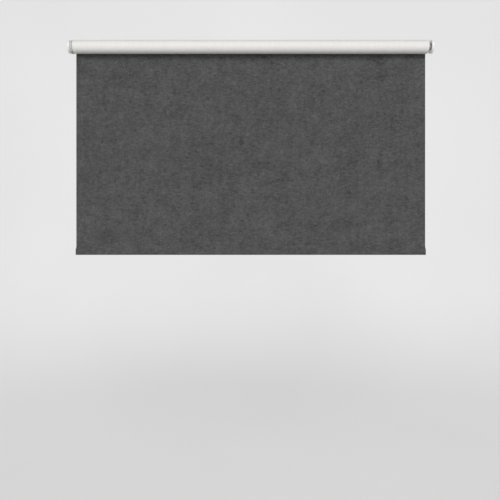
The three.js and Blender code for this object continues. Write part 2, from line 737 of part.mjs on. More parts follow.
function idlePlug() {
  const profile = [
    [PLUG_INNER, PLUG_CAVITY_RADIUS],
    [PLUG_INNER, IN_TUBE],
    [PLUG_OUTER - PLUG_FLANGE, IN_TUBE],
    [PLUG_OUTER - PLUG_FLANGE, PLUG_FLANGE_RADIUS],
    [PLUG_OUTER, PLUG_FLANGE_RADIUS],
    [PLUG_OUTER, PIN_RADIUS + RUNNING_GAP],
    [PLUG_OUTER - PLUG_WALL, PIN_RADIUS + RUNNING_GAP],
    [PLUG_OUTER - PLUG_WALL, PLUG_CAVITY_RADIUS],
    [PLUG_INNER, PLUG_CAVITY_RADIUS],
  ];
  return keyedToTube(turned(profile), PLUG_INNER - 1, PLUG_OUTER - PLUG_FLANGE);
}

function springCap() {
  const bore = PIN_RADIUS + RUNNING_GAP;
  return sleeve(
    PLUG_INNER, PLUG_INNER + SPRING_CAP_WIDTH, bore, PLUG_CAVITY_RADIUS - REST_GAP, SMALL_ROUND,
  );
}

function idlePin() {
  const tail = SPRING_CAP_FACE - SPRING_CAP_WIDTH / 2;
  const profile = [
    [tail, 0],
    [tail, PIN_RADIUS - 0.5],
    [tail + 0.5, PIN_RADIUS],
    [COLLAR_FACE - PIN_COLLAR_WIDTH, PIN_RADIUS],
    [COLLAR_FACE - PIN_COLLAR_WIDTH, PIN_COLLAR_RADIUS],
    [COLLAR_FACE, PIN_COLLAR_RADIUS],
    [COLLAR_FACE, PIN_RADIUS],
    [PIN_TIP - 1, PIN_RADIUS],
    [PIN_TIP, PIN_RADIUS - 1],
    [PIN_TIP, 0],
  ];
  return turned(profile, SMALL_ROUND);
}

function idleSpring() {
  const start = SPRING_CAP_FACE + SPRING_WIRE_RADIUS;
  const end = COLLAR_FACE - PIN_COLLAR_WIDTH - REST_GAP - SPRING_WIRE_RADIUS;
  const coilPoints = [];
  const steps = SPRING_TURNS * 12;
  for (let i = 0; i <= steps; i += 1) {
    const turn = (2 * Math.PI * SPRING_TURNS * i) / steps;
    const x = start + ((end - start) * i) / steps;
    coilPoints.push(
      new THREE.Vector3(x, SPRING_RADIUS * Math.cos(turn), SPRING_RADIUS * Math.sin(turn)),
    );
  }
  const wire = new THREE.Shape();
  wire.absarc(0, 0, SPRING_WIRE_RADIUS, 0, 2 * Math.PI, false);
  const settings = {
    steps,
    curveSegments: 3,
    extrudePath: new THREE.CatmullRomCurve3(coilPoints),
  };
  return toSolid(new THREE.ExtrudeGeometry(wire, settings));
}

add("idle_plug", idlePlug(), greyPlastic);
add("idle_spring_cap", springCap(), blackPlastic);
add("idle_spring", idleSpring(), springSteel);
add("idle_pin", idlePin(), zincSteel);

// ---- Fabric: the tape that holds it, the turns on the tube and the length that hangs ----

function fabricTape() {
  const shape = new THREE.Shape();
  const outer = TAPE_RADIUS + TAPE_THICKNESS;
  const facets = Math.round((TAPE_ARC * ROUND) / (2 * Math.PI));
  shape.absarc(0, 0, outer, 0, TAPE_ARC, false);
  shape.absarc(0, 0, TAPE_RADIUS, TAPE_ARC, 0, true);
  shape.closePath();
  return pulled(shape, -FABRIC_END, FABRIC_END, facets);
}

function fabricDrop() {
  const top = -0.5;
  const bottom = POCKET_TOP + REST_GAP;
  const height = top - bottom;
  return block(
    2 * FABRIC_END, FABRIC_THICKNESS, height, 0, DROP_PLANE, bottom + height / 2,
  );
}

add("fabric_tape", fabricTape(), tapeClear);
add("fabric_roll", sleeve(-FABRIC_END, FABRIC_END, ROLL_BORE, ROLL_RADIUS), fabricBack);
add("fabric_drop", fabricDrop(), fabricCloth);

// ---- Bottom bar in its fabric pocket ----

function bottomBar() {
  const shape = stadium(DROP_PLANE, BAR_CENTRE, BAR_DEPTH, BAR_HEIGHT);
  const hollow = stadium(
    DROP_PLANE, BAR_CENTRE, BAR_DEPTH - 2 * BAR_WALL, BAR_HEIGHT - 2 * BAR_WALL,
  );
  shape.holes.push(hollow);
  return pulled(shape, -FABRIC_END + 0.3, FABRIC_END - 0.3, 6);
}

function hemPocket() {
  const depth = BAR_DEPTH + 2 * REST_GAP;
  const walls = 2 * FABRIC_THICKNESS;
  const shape = stadium(DROP_PLANE, BAR_CENTRE, depth + walls, POCKET_INSIDE + walls);
  shape.holes.push(stadium(DROP_PLANE, BAR_CENTRE, depth, POCKET_INSIDE));
  const sleeveOfCloth = pulled(shape, -FABRIC_END, FABRIC_END, 6);
  const flapPlane = DROP_PLANE + FABRIC_THICKNESS + REST_GAP;
  const flap = block(
    2 * FABRIC_END,
    FABRIC_THICKNESS,
    HEM_OVERLAP + FABRIC_THICKNESS,
    0,
    flapPlane,
    POCKET_TOP + (HEM_OVERLAP - FABRIC_THICKNESS) / 2,
  );
  return sleeveOfCloth.add(flap);
}

function barEndCap() {
  const inner = FABRIC_END + REST_GAP;
  const face = stadium(DROP_PLANE, BAR_CENTRE, BAR_CAP_DEPTH, BAR_CAP_HEIGHT);
  const tongue = stadium(
    DROP_PLANE,
    BAR_CENTRE,
    BAR_DEPTH - 2 * BAR_WALL - 2 * REST_GAP,
    BAR_HEIGHT - 2 * BAR_WALL - 2 * REST_GAP,
  );
  const plate = pulled(face, inner, inner + BAR_CAP_WIDTH, 6);
  return plate.add(pulled(tongue, inner - BAR_CAP_TONGUE, inner + EPSILON, 6));
}

add("bottom_bar", bottomBar(), aluminium);
add("hem_pocket", hemPocket(), fabricCloth);
add("bar_end_cap_left", atMotorEnd(barEndCap()), blackPlastic);
add("bar_end_cap_right", barEndCap(), blackPlastic);

export default blind;
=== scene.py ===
import math

import bpy
from mathutils import Matrix, Vector


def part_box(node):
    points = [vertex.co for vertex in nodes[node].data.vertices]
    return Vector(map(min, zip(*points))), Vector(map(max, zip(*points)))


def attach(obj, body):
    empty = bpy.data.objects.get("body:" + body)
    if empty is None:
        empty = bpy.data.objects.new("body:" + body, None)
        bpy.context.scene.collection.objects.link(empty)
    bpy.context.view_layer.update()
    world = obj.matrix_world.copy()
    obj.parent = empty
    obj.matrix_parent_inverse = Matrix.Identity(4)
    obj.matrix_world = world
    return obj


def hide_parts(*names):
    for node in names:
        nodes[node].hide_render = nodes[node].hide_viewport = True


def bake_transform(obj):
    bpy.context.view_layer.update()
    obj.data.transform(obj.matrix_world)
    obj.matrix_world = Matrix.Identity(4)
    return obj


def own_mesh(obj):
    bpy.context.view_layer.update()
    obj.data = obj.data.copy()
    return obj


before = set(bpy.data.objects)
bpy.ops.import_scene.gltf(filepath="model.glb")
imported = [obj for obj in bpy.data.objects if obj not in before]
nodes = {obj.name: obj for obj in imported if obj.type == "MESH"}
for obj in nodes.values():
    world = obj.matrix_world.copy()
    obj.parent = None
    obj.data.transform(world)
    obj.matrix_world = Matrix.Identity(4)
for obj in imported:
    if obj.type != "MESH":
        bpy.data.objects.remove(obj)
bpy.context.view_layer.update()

# ---- Side brackets ----
# A round plate of zinc-plated pressed steel at each end, screwed flat to the side of the recess.
# The motor's plate carries a cross-shaped spigot, and the idle plate a round hub with a blind hole.

PLATE_THICKNESS = 0.002
PLATE_EDGE = 0.0003
SCREW_PITCH = 0.026
SCREW_HOLE_RADIUS = 0.0023
SCREW_SINK_RADIUS = 0.004
SCREW_LAND = 0.0006
SPIGOT_SPAN = 0.014
SPIGOT_THICKNESS = 0.003
SPIGOT_BOSS_RADIUS = 0.0086
HUB_RADIUS = 0.009
HUB_HOLE_RADIUS = 0.00425
HUB_HOLE_LEAD = 0.0004
CUT_START = 0.001
CUT_FLARE = 0.0008
JOIN_OVERLAP = 0.0005
CREASE_DEGREES = 35
METAL = {"Metallic": 1.0}


def pick(piece):
    """Selects one piece alone, for the operators that follow."""
    bpy.ops.object.select_all(action="DESELECT")
    bpy.context.view_layer.objects.active = piece
    piece.select_set(True)


def added(name, primitive, **settings):
    """A new primitive with its place taken into its mesh."""
    bpy.ops.object.select_all(action="DESELECT")
    primitive(**settings)
    piece = bpy.context.object
    piece.name = name
    bpy.ops.object.transform_apply(location=True, rotation=True, scale=True)
    return piece


def faced(piece, inside=False):
    """Points every face of the active piece outwards, or inwards for a room."""
    bpy.ops.object.mode_set(mode="EDIT")
    bpy.ops.mesh.select_all(action="SELECT")
    bpy.ops.mesh.normals_make_consistent(inside=inside)
    bpy.ops.object.mode_set(mode="OBJECT")
    return piece


def edit_marked(parts, kind, chosen):
    """Goes into edit mode with only the chosen vertices or faces selected."""
    bpy.ops.object.mode_set(mode="EDIT")
    bpy.ops.mesh.select_mode(type=kind)
    bpy.ops.mesh.select_all(action="DESELECT")
    bpy.ops.object.mode_set(mode="OBJECT")
    for part in parts:
        part.select = chosen(part)
    bpy.ops.object.mode_set(mode="EDIT")


def modified(piece, kind, **settings):
    """Adds a modifier with its settings and applies it."""
    step = piece.modifiers.new(kind, kind)
    for key, value in settings.items():
        setattr(step, key, value)
    pick(piece)
    bpy.ops.object.modifier_apply(modifier=step.name)
    return piece


def combine(piece, other, operation):
    """Cuts the other shape out of the piece, or joins it on, and takes the other shape away."""
    modified(piece, "BOOLEAN", operation=operation, object=other, solver="EXACT")
    bpy.data.objects.remove(other)
    return piece


def smooth(piece, degrees=CREASE_DEGREES):
    pick(piece)
    bpy.ops.object.shade_smooth_by_angle(angle=math.radians(degrees))
    return piece


def placed(piece, matrix):
    """Moves a piece and takes the move into its mesh."""
    pick(piece)
    piece.matrix_world = matrix
    bpy.ops.object.transform_apply(location=True, rotation=True, scale=True)
    return piece


def mirrored(piece):
    """Turns a piece drawn at the idle end into one at the motor end."""
    pick(piece)
    piece.scale = (-1, 1, 1)
    bpy.ops.object.transform_apply(location=True, rotation=True, scale=True)
    return faced(piece)


def turned(name, rings, segments=128):
    """A piece turned about the X axis: a ring of edges, pulled out and scaled through (x, radius)."""
    start_x, start_radius = rings[0]
    settings = {"radius": start_radius, "location": (start_x, 0, 0), "rotation": (0, math.pi / 2, 0)}
    piece = added(name, bpy.ops.mesh.primitive_circle_add, vertices=segments, **settings)
    bpy.ops.object.mode_set(mode="EDIT")
    bpy.ops.mesh.select_mode(type="VERT")
    bpy.ops.mesh.select_all(action="SELECT")
    if rings[0] != rings[-1]:
        bpy.ops.mesh.edge_face_add()
        bpy.ops.mesh.select_all(action="SELECT")
    for (x0, r0), (x1, r1) in zip(rings, rings[1:]):
        bpy.ops.mesh.extrude_region_move(TRANSFORM_OT_translate={"value": (x1 - x0, 0, 0)})
        if r1 != r0:
            bpy.ops.transform.resize(value=(1, r1 / r0, r1 / r0), center_override=(x1, 0, 0))
    bpy.ops.mesh.select_all(action="SELECT")
    bpy.ops.mesh.remove_doubles(threshold=1e-6)
    bpy.ops.object.mode_set(mode="OBJECT")
    return faced(piece)


def box(name, low, high):
    """A block from its lowest to its highest corner."""
    middle = [(a + b) / 2 for a, b in zip(low, high)]
    size = [b - a for a, b in zip(low, high)]
    return added(name, bpy.ops.mesh.primitive_cube_add, size=1, location=middle, scale=size)


def cross(name, x0, x1, span, thickness):
    """A plus-shaped bar along X, grown out of a square core by pulling out its four sides."""
    half = thickness / 2
    core = box(name, (x0, -half, -half), (x1, half, half))
    edit_marked(core.data.polygons, "FACE", lambda face: abs(face.normal.x) < 0.5)
    reach = (span - thickness) / 2
    bpy.ops.mesh.extrude_faces_move(TRANSFORM_OT_shrink_fatten={"value": reach})
    bpy.ops.object.mode_set(mode="OBJECT")
    return faced(core)


def wired(tree, node, inputs):
    """Links or sets a node's sockets."""
    for key, value in inputs.items():
        if isinstance(value, bpy.types.NodeSocket):
            tree.links.new(value, node.inputs[key])
        else:
            node.inputs[key].default_value = value
    return node


def add_node(tree, kind, inputs, **settings):
    """The outputs of a new shader node with its settings, and its sockets linked or set."""
    made = tree.nodes.new("ShaderNode" + kind)
    for key, value in settings.items():
        setattr(made, key, value)
    return wired(tree, made, inputs).outputs


def maths(tree, operation, *values):
    return add_node(tree, "Math", dict(enumerate(values)), operation=operation)[0]


def new_finish(name):
    """An empty material, its tree and its Object coordinates."""
    material = bpy.data.materials.new(name)
    material.use_nodes = True
    tree = material.node_tree
    return material, tree, add_node(tree, "TexCoord", {})["Object"]


def surfaced(material, colour, roughness, normal, plain):
    """Gives a material its colour, roughness and relief, and its plain values."""
    tree = material.node_tree
    inputs = {"Base Color": colour, "Roughness": roughness, "Normal": normal, **plain}
    wired(tree, tree.nodes["Principled BSDF"], inputs)
    return material


def noise(tree, place, scale, detail=3.0, roughness=0.55, stretch=(1, 1, 1), seed=0.0):
    inputs = {0: place, "Location": (seed, seed * 0.7, -seed), "Scale": stretch}
    moved = add_node(tree, "Mapping", inputs)[0]
    inputs = {0: moved, "Scale": scale, "Detail": detail, "Roughness": roughness}
    return add_node(tree, "TexNoise", inputs)[0]


def ramp(tree, factor, *stops):
    """Colours laid along a factor, each stop a place and a colour."""
    made = wired(tree, tree.nodes.new("ShaderNodeValToRGB"), {0: factor})
    for element, (position, colour) in zip(made.color_ramp.elements, stops):
        element.position = position
        element.color = (*colour, 1)
    return made.outputs[0]


def spread(tree, factor, low, high):
    """Maps the middle of a noise's range onto low to high."""
    return add_node(tree, "MapRange", {0: factor, 1: 0.25, 2: 0.75, 3: low, 4: high})[0]


def bumped(tree, height, depth, **more):
    return add_node(tree, "Bump", {"Height": height, "Distance": depth, **more})[0]


def shaded(colour, share):
    return tuple(min(1.0, part * share) for part in colour)


def zinc_steel(name, colour=(0.60, 0.61, 0.63)):
    """Bright zinc plate: pale crystals a few millimetres across, fine brush lines and dull spots."""
    material, tree, place = new_finish(name)
    cells = add_node(tree, "TexVoronoi", {0: place, "Scale": 420.0})["Color"]
    cell_grey = add_node(tree, "RGBToBW", {0: cells})[0]
    stain = noise(tree, place, 90.0, 4.0)
    tone = maths(tree, "MULTIPLY", cell_grey, stain)
    lines = noise(tree, place, 900.0, 2.0, stretch=(1, 1, 0.08))
    plating = ramp(tree, tone, (0.05, shaded(colour, 0.88)), (0.5, colour))
    return surfaced(material, plating, spread(tree, stain, 0.34, 0.42), bumped(tree, lines, 0.00002), METAL)


def finish_piece(piece, material, body, replaced, degrees=CREASE_DEGREES):
    """Smooths a finished piece, gives it its material, hangs it on its moving body and hides the CAD node it
    replaces.
    """
    if not piece.data.polygons:
        raise ValueError(piece.name + " has no faces")
    smooth(piece, degrees)
    piece.data.materials.clear()
    piece.data.materials.append(material)
    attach(piece, body)
    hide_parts(replaced)


bracket_zinc = zinc_steel("bracket zinc")
idle_low, idle_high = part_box("idle_bracket")
WALL = idle_high.x
PLATE_RADIUS = idle_high.y
PLATE_FACE = WALL - PLATE_THICKNESS
HUB_FACE = idle_low.x
SPIGOT_FACE = -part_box("motor_bracket")[1].x


def bracket_plate(name):
    """The plate with its edges eased and two countersunk holes."""
    rim = PLATE_RADIUS - PLATE_EDGE
    rings = [(PLATE_FACE, rim), (PLATE_FACE + PLATE_EDGE, PLATE_RADIUS)]
    rings += [(WALL - PLATE_EDGE, PLATE_RADIUS), (WALL, rim)]
    plate = turned(name, rings)
    rings = [(PLATE_FACE - CUT_START, SCREW_SINK_RADIUS + CUT_FLARE), (PLATE_FACE, SCREW_SINK_RADIUS)]
    rings += [(WALL - SCREW_LAND, SCREW_HOLE_RADIUS), (WALL + CUT_START, SCREW_HOLE_RADIUS)]
    for side in (-1, 1):
        sink = placed(turned("sink", rings, 48), Matrix.Translation((0, 0, side * SCREW_PITCH / 2)))
        combine(plate, sink, "DIFFERENCE")
    return plate


def raised(name, face, radius):
    """A round that stands up from the plate, with its front edge eased."""
    rings = [(face, radius - PLATE_EDGE), (face + PLATE_EDGE, radius), (PLATE_FACE + JOIN_OVERLAP, radius)]
    return turned(name, rings, 96)


motor_bracket = bracket_plate("motor_bracket_plate")
combine(motor_bracket, raised("boss", PLATE_FACE - PLATE_THICKNESS, SPIGOT_BOSS_RADIUS), "UNION")
spigot = cross("spigot", SPIGOT_FACE, PLATE_FACE + JOIN_OVERLAP, SPIGOT_SPAN, SPIGOT_THICKNESS)
combine(motor_bracket, spigot, "UNION")
finish_piece(mirrored(motor_bracket), bracket_zinc, "fixed", "motor_bracket")

idle_bracket = bracket_plate("idle_bracket_plate")
combine(idle_bracket, raised("hub", HUB_FACE, HUB_RADIUS), "UNION")
rings = [(HUB_FACE - CUT_START, HUB_HOLE_RADIUS + CUT_FLARE), (HUB_FACE + HUB_HOLE_LEAD, HUB_HOLE_RADIUS)]
rings += [(PLATE_FACE, HUB_HOLE_RADIUS)]
combine(idle_bracket, turned("seat", rings, 64), "DIFFERENCE")
finish_piece(idle_bracket, bracket_zinc, "fixed", "idle_bracket")

# ---- Bracket covers ----
# A shallow round cup of glossy white plastic pushed on over each plate, so that no screw shows.
# It is moulded with a rounded front edge and a hole in the middle for the spigot or the hub.

COVER_WALL = 0.0016
COVER_ROUNDING = 0.0016
COVER_CORNER = 0.0006
COVER_HOLE_RADIUS = 0.0105
COVER_HOLE_ROUNDING = 0.0005
COVER_SEAT = 0.00015


def rounding(steps):
    """A quarter round of size one: how far it still is from its two ends, step by step."""
    turns = [i / steps * math.pi / 2 for i in range(steps + 1)]
    return [(1 - math.cos(turn), 1 - math.sin(turn)) for turn in turns]


def moulded_plastic(name, colour, roughness=(0.24, 0.36), grain=0.000012):
    """Moulded plastic: slight colour drift, a satin skin that varies, and the mould's fine grain."""
    material, tree, place = new_finish(name)
    drift = noise(tree, place, 45.0, 4.0)
    marks = noise(tree, place, 260.0, 5.0, 0.65, seed=3.0)
    both = maths(tree, "MULTIPLY", drift, marks)
    skin = noise(tree, place, 2600.0, 2.0, seed=1.0)
    tone = ramp(tree, both, (0.12, shaded(colour, 0.93)), (0.32, colour))
    return surfaced(material, tone, spread(tree, marks, *roughness), bumped(tree, skin, grain), {"IOR": 1.49})


white_plastic = moulded_plastic("cover white", (0.87, 0.865, 0.85))
cover_low, cover_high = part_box("idle_bracket_cover")
COVER_FACE = cover_low.x
COVER_RIM = cover_high.x
COVER_RADIUS = cover_high.y


def bracket_cover(name):
    inside = COVER_RADIUS - COVER_WALL
    face_inside = COVER_FACE + COVER_WALL
    rings = [(COVER_RIM, inside + COVER_SEAT), (face_inside + COVER_CORNER, inside)]
    rings += [(face_inside, inside - COVER_CORNER), (face_inside, COVER_HOLE_RADIUS)]
    for deep, wide in ((1, 0), (0.3, 0.3), (0, 1)):
        hole_radius = COVER_HOLE_RADIUS + COVER_HOLE_ROUNDING * wide
        rings.append((COVER_FACE + COVER_HOLE_ROUNDING * deep, hole_radius))
    for deep, inward in rounding(8):
        rings.append((COVER_FACE + COVER_ROUNDING * deep, COVER_RADIUS - COVER_ROUNDING * inward))
    rings += [(COVER_RIM - COVER_SEAT, COVER_RADIUS), (COVER_RIM, COVER_RADIUS - COVER_SEAT), rings[0]]
    return turned(name, rings)


idle_cover = bracket_cover("idle_cover")
finish_piece(idle_cover, white_plastic, "fixed", "idle_bracket_cover")
motor_cover = mirrored(bracket_cover("motor_cover"))
finish_piece(motor_cover, white_plastic, "fixed", "motor_bracket_cover")

# ---- Motor head ----
# The end of the tube motor: a moulded light grey ring, with a neck that the crown ring turns on.
# Its cross-shaped seat drops over the bracket's spigot, so that the head can't turn.

HEAD_WIDTH = 0.0065
HEAD_ROUNDING = 0.0009
HEAD_CORE_RADIUS = 0.004
NECK_LENGTH = 0.0145
NECK_RADIUS = 0.014
PLUG_RADIUS = 0.0114
SEAT_GAP = 0.0003
SEAT_END_GAP = 0.0004
SOCKET_LENGTH = 0.009
SOCKET_WIDTH = 0.0032
SOCKET_RECESS = 0.0008
SOCKET_DEPTH = 0.0065
SOCKET_OPENING = 0.003
BUTTON_ANGLE = -2.25
BUTTON_RADIUS = 0.0016
BUTTON_GAP = 0.00025
BUTTON_HOLE_DEPTH = 0.005
LIGHT_ANGLE = -2.55
LIGHT_RADIUS = 0.0009
LIGHT_HOLE_DEPTH = 0.0033


def stadium(name, length, thickness, depth, segments=48):
    """A slot-shaped bar, long on Y and upright on Z: a cylinder with its two halves moved apart."""
    settings = {"radius": thickness / 2, "depth": depth, "rotation": (0, 0, math.pi / segments)}
    bar = added(name, bpy.ops.mesh.primitive_cylinder_add, vertices=segments, **settings)
    for side in (-1, 1):
        edit_marked(bar.data.vertices, "VERT", lambda vertex: vertex.co.y * side > 0)
        bpy.ops.transform.translate(value=(0, side * (length - thickness) / 2, 0))
        bpy.ops.object.mode_set(mode="OBJECT")
    return bar


def radial(angle, x, reach):
    """A matrix that stands a piece's Z out from the roller's axis, at an angle from +Y towards +Z."""
    turn = Matrix.Rotation(angle - math.pi / 2, 4, "X")
    return Matrix.Translation((x, reach * math.cos(angle), reach * math.sin(angle))) @ turn


head_low, head_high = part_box("motor_head")
HEAD_RADIUS = head_high.y
HEAD_OUTER = head_low.x
HEAD_INNER = HEAD_OUTER + HEAD_WIDTH
HEAD_MIDDLE = (HEAD_OUTER + HEAD_INNER) / 2
NECK_END = HEAD_INNER + NECK_LENGTH
SOCKET_TOP = -HEAD_RADIUS + SOCKET_RECESS + SOCKET_DEPTH

rings = [(HEAD_OUTER, HEAD_CORE_RADIUS)]
rings += [(HEAD_OUTER + HEAD_ROUNDING * x, HEAD_RADIUS - HEAD_ROUNDING * r) for x, r in rounding(5)]
rings += [(HEAD_INNER - HEAD_ROUNDING * x, HEAD_RADIUS - HEAD_ROUNDING * r) for r, x in rounding(5)]
rings += [(HEAD_INNER, NECK_RADIUS), (NECK_END, NECK_RADIUS)]
rings += [(NECK_END, PLUG_RADIUS), (head_high.x, PLUG_RADIUS)]
motor_head = turned("motor_head_ring", rings)
span, thickness = (SPIGOT_SPAN + 2 * SEAT_GAP, SPIGOT_THICKNESS + 2 * SEAT_GAP)
seat = cross("seat", HEAD_OUTER - CUT_START, SEAT_END_GAP - SPIGOT_FACE, span, thickness)
combine(motor_head, seat, "DIFFERENCE")
room_depth = SOCKET_DEPTH + SOCKET_OPENING
room = stadium("room", SOCKET_LENGTH + 2 * SEAT_GAP, SOCKET_WIDTH + 2 * SEAT_GAP, room_depth)
placed(room, Matrix.Translation((HEAD_MIDDLE, 0, SOCKET_TOP + SEAT_GAP - room_depth / 2)))
combine(motor_head, room, "DIFFERENCE")
holes = [(BUTTON_ANGLE, BUTTON_RADIUS + BUTTON_GAP, BUTTON_HOLE_DEPTH)]
holes += [(LIGHT_ANGLE, LIGHT_RADIUS + SEAT_GAP, LIGHT_HOLE_DEPTH)]
for angle, radius, depth in holes:
    settings = {"vertices": 48, "radius": radius, "depth": depth + 2 * CUT_START}
    hole = added("hole", bpy.ops.mesh.primitive_cylinder_add, **settings)
    placed(hole, radial(angle, HEAD_MIDDLE, HEAD_RADIUS + CUT_START - depth / 2))
    combine(motor_head, hole, "DIFFERENCE")
grey_plastic = moulded_plastic("head light grey", (0.60, 0.60, 0.585), (0.32, 0.46), 0.00002)
finish_piece(motor_head, grey_plastic, "fixed", "motor_head")

# ---- Charging socket, its flap, the program button and the light ----
# The socket is a pressed steel shell with a tongue, low in the motor head behind a soft rubber flap.
# A small white button and a clear light guide stand beside it, on the side that faces the room.

SOCKET_WALL = 0.0003
SOCKET_BACK = 0.001
TONGUE_THICKNESS = 0.0008
TONGUE_HALF_WIDTH = 0.0033
TONGUE_RECESS = 0.0013
TONGUE_ROOT = 0.0004
FLAP_THICKNESS = 0.001
FLAP_WIDTH = 0.0056
FLAP_ARC = 0.9
FLAP_EDGE = 0.00025
FLAP_JOINT_EDGE = 0.0001
FLAP_HINGE_RADIUS = 0.0009
FLAP_LIP_RADIUS = 0.8 * FLAP_HINGE_RADIUS
BUTTON_LENGTH = 0.0045
BUTTON_CROWN = 0.00025
BUTTON_PROUD = 0.0005
LIGHT_LENGTH = 0.003
LIGHT_CROWN = 0.0002
LIGHT_PROUD = 0.0001
DOME_STEPS = 4
DOME_SHARE = 0.2


def domed(name, radius, depth, crown, segments=48):
    """A short round peg along Z with a gently crowned outer end, its top at the origin."""
    settings = {"vertices": segments, "radius": radius, "depth": depth, "location": (0, 0, -depth / 2)}
    peg = added(name, bpy.ops.mesh.primitive_cylinder_add, **settings)
    edit_marked(peg.data.polygons, "FACE", lambda face: face.normal.z > 0.9)
    for _ in range(DOME_STEPS):
        bpy.ops.mesh.inset(thickness=radius * DOME_SHARE, depth=0)
    bpy.ops.object.mode_set(mode="OBJECT")
    for vertex in peg.data.vertices:
        if vertex.co.z > -depth / 2:
            across = min(1.0, math.hypot(vertex.co.x, vertex.co.y) / radius)
            vertex.co.z -= crown * across**2
    return peg


shell = stadium("charge_socket_shell", SOCKET_LENGTH, SOCKET_WIDTH, SOCKET_DEPTH)
mouth = stadium("mouth", SOCKET_LENGTH - 2 * SOCKET_WALL, SOCKET_WIDTH - 2 * SOCKET_WALL, SOCKET_DEPTH)
combine(shell, placed(mouth, Matrix.Translation((0, 0, -SOCKET_BACK))), "DIFFERENCE")
tongue_low = (-TONGUE_THICKNESS / 2, -TONGUE_HALF_WIDTH, TONGUE_RECESS - SOCKET_DEPTH / 2)
tongue_high = (TONGUE_THICKNESS / 2, TONGUE_HALF_WIDTH, SOCKET_DEPTH / 2 - TONGUE_ROOT)
combine(shell, box("tongue", tongue_low, tongue_high), "UNION")
placed(shell, Matrix.Translation((HEAD_MIDDLE, 0, SOCKET_TOP - SOCKET_DEPTH / 2)))
finish_piece(shell, zinc_steel("socket steel", (0.48, 0.48, 0.49)), "fixed", "charge_socket")


def soft_rubber(name, colour):
    """Moulded rubber: even grey, a dusty bloom in patches and a very fine matt grain."""
    material, tree, place = new_finish(name)
    bloom = noise(tree, place, 160.0, 4.0)
    grain = noise(tree, place, 3200.0, 3.0)
    tone = ramp(tree, bloom, (0.35, colour), (0.75, shaded(colour, 1.16)))
    return surfaced(material, tone, spread(tree, bloom, 0.62, 0.82), bumped(tree, grain, 0.00003), {})


# The flap is laid out flat with its edges eased, then wrapped round under the head.
flap_radius = HEAD_RADIUS + SEAT_GAP
flap = added("charge_flap", bpy.ops.mesh.primitive_grid_add, x_subdivisions=6, y_subdivisions=32, size=1)
placed(flap, Matrix.Diagonal((FLAP_WIDTH, FLAP_ARC * flap_radius, 1, 1)))
modified(flap, "SOLIDIFY", thickness=FLAP_THICKNESS, offset=1)
modified(flap, "BEVEL", width=FLAP_EDGE, segments=3)
for vertex in flap.data.vertices:
    across = vertex.co.y / flap_radius
    radius = flap_radius + vertex.co.z
    vertex.co.y = radius * math.sin(across)
    vertex.co.z = -radius * math.cos(across)
placed(flap, Matrix.Translation((HEAD_MIDDLE, 0, 0)))
for angle, radius in ((FLAP_ARC / 2, FLAP_HINGE_RADIUS), (-FLAP_ARC / 2, FLAP_LIP_RADIUS)):
    settings = {"radius": radius, "depth": FLAP_WIDTH, "rotation": (0, math.pi / 2, 0)}
    bead = added("bead", bpy.ops.mesh.primitive_cylinder_add, vertices=32, **settings)
    orbit = flap_radius + radius
    placed(bead, Matrix.Translation((HEAD_MIDDLE, orbit * math.sin(angle), -orbit * math.cos(angle))))
    combine(flap, bead, "UNION")
flap_edge = flap.modifiers.new("flap edge", "BEVEL")
flap_edge.width = FLAP_JOINT_EDGE
flap_edge.segments = 2
flap_edge.angle_limit = math.radians(50)
flap_rubber = soft_rubber("flap rubber", (0.42, 0.42, 0.41))
finish_piece(flap, flap_rubber, "port_cap", "charge_port_cap")

button = domed("program_button_peg", BUTTON_RADIUS, BUTTON_LENGTH, BUTTON_CROWN)
placed(button, radial(BUTTON_ANGLE, HEAD_MIDDLE, HEAD_RADIUS + BUTTON_PROUD))
finish_piece(button, white_plastic, "button", "program_button", 50)

light = domed("status_light_guide", LIGHT_RADIUS, LIGHT_LENGTH, LIGHT_CROWN, 32)
placed(light, radial(LIGHT_ANGLE, HEAD_MIDDLE, HEAD_RADIUS + LIGHT_PROUD))
clear_plastic = moulded_plastic("light guide", (0.62, 0.74, 0.66), (0.08, 0.16), 0.000004)
clear_plastic.node_tree.nodes["Principled BSDF"].inputs["Transmission Weight"].default_value = 0.35
finish_piece(light, clear_plastic, "fixed", "status_light", 50)

# ---- Crown ring, roller tube and idle end ----
# The grey crown ring is pressed into the aluminium tube and turns on the motor head's neck.
# The idle plug closes the other end, with a steel pin that springs out into the bracket's hub.

FLANGE_ROUNDING = 0.0003
TUBE_SEAT = 0.0177
RIB_WIDTH = 0.0036
RIB_BORE = 0.0162
SLOT_REACH = 0.0205
CROWN_PLAY = 0.00025
CROWN_FLANGE = 0.001
CROWN_LEAD = 0.001
CROWN_TAPER = 0.0006
PLUG_FLANGE = 0.0012
PLUG_CHAMFER = 0.0008
PLUG_FRONT_WALL = 0.004
PLUG_HOLLOW_RADIUS = 0.008
PLUG_RING_OUTER = 0.0125
PLUG_RING_INNER = 0.0078
PLUG_RING_DEPTH = 0.0004
PIN_RADIUS = 0.004
PIN_PLAY = 0.00025
PIN_CHAMFER = 0.0005
PIN_GROOVE = 0.0004
PIN_GROOVE_SLOPE = 0.0003
PIN_GROOVE_PLACE = (0.0050, 0.0038)
PIN_NOSE = ((0.0010, 0.0), (0.0003, 0.0006), (0.0, 0.0014))
COLLAR_BACK = 0.0043
COLLAR_WIDTH = 0.0027
COLLAR_EDGE = 0.0002


def notched(piece, x0, x1):
    """Cuts the two slots that the tube's ribs run in."""
    for side in (-1, 1):
        low, high = sorted((side * RIB_BORE, side * SLOT_REACH))
        combine(piece, box("slot", (x0, low, -RIB_WIDTH / 2), (x1, high, RIB_WIDTH / 2)), "DIFFERENCE")
    return piece


def groove(start, end, radius, depth, slope):
    """The four points of a shallow groove with sloping sides, from its start to its end along the axis."""
    floor = radius - depth
    return [(start, radius), (start + slope, floor), (end - slope, floor), (end, radius)]


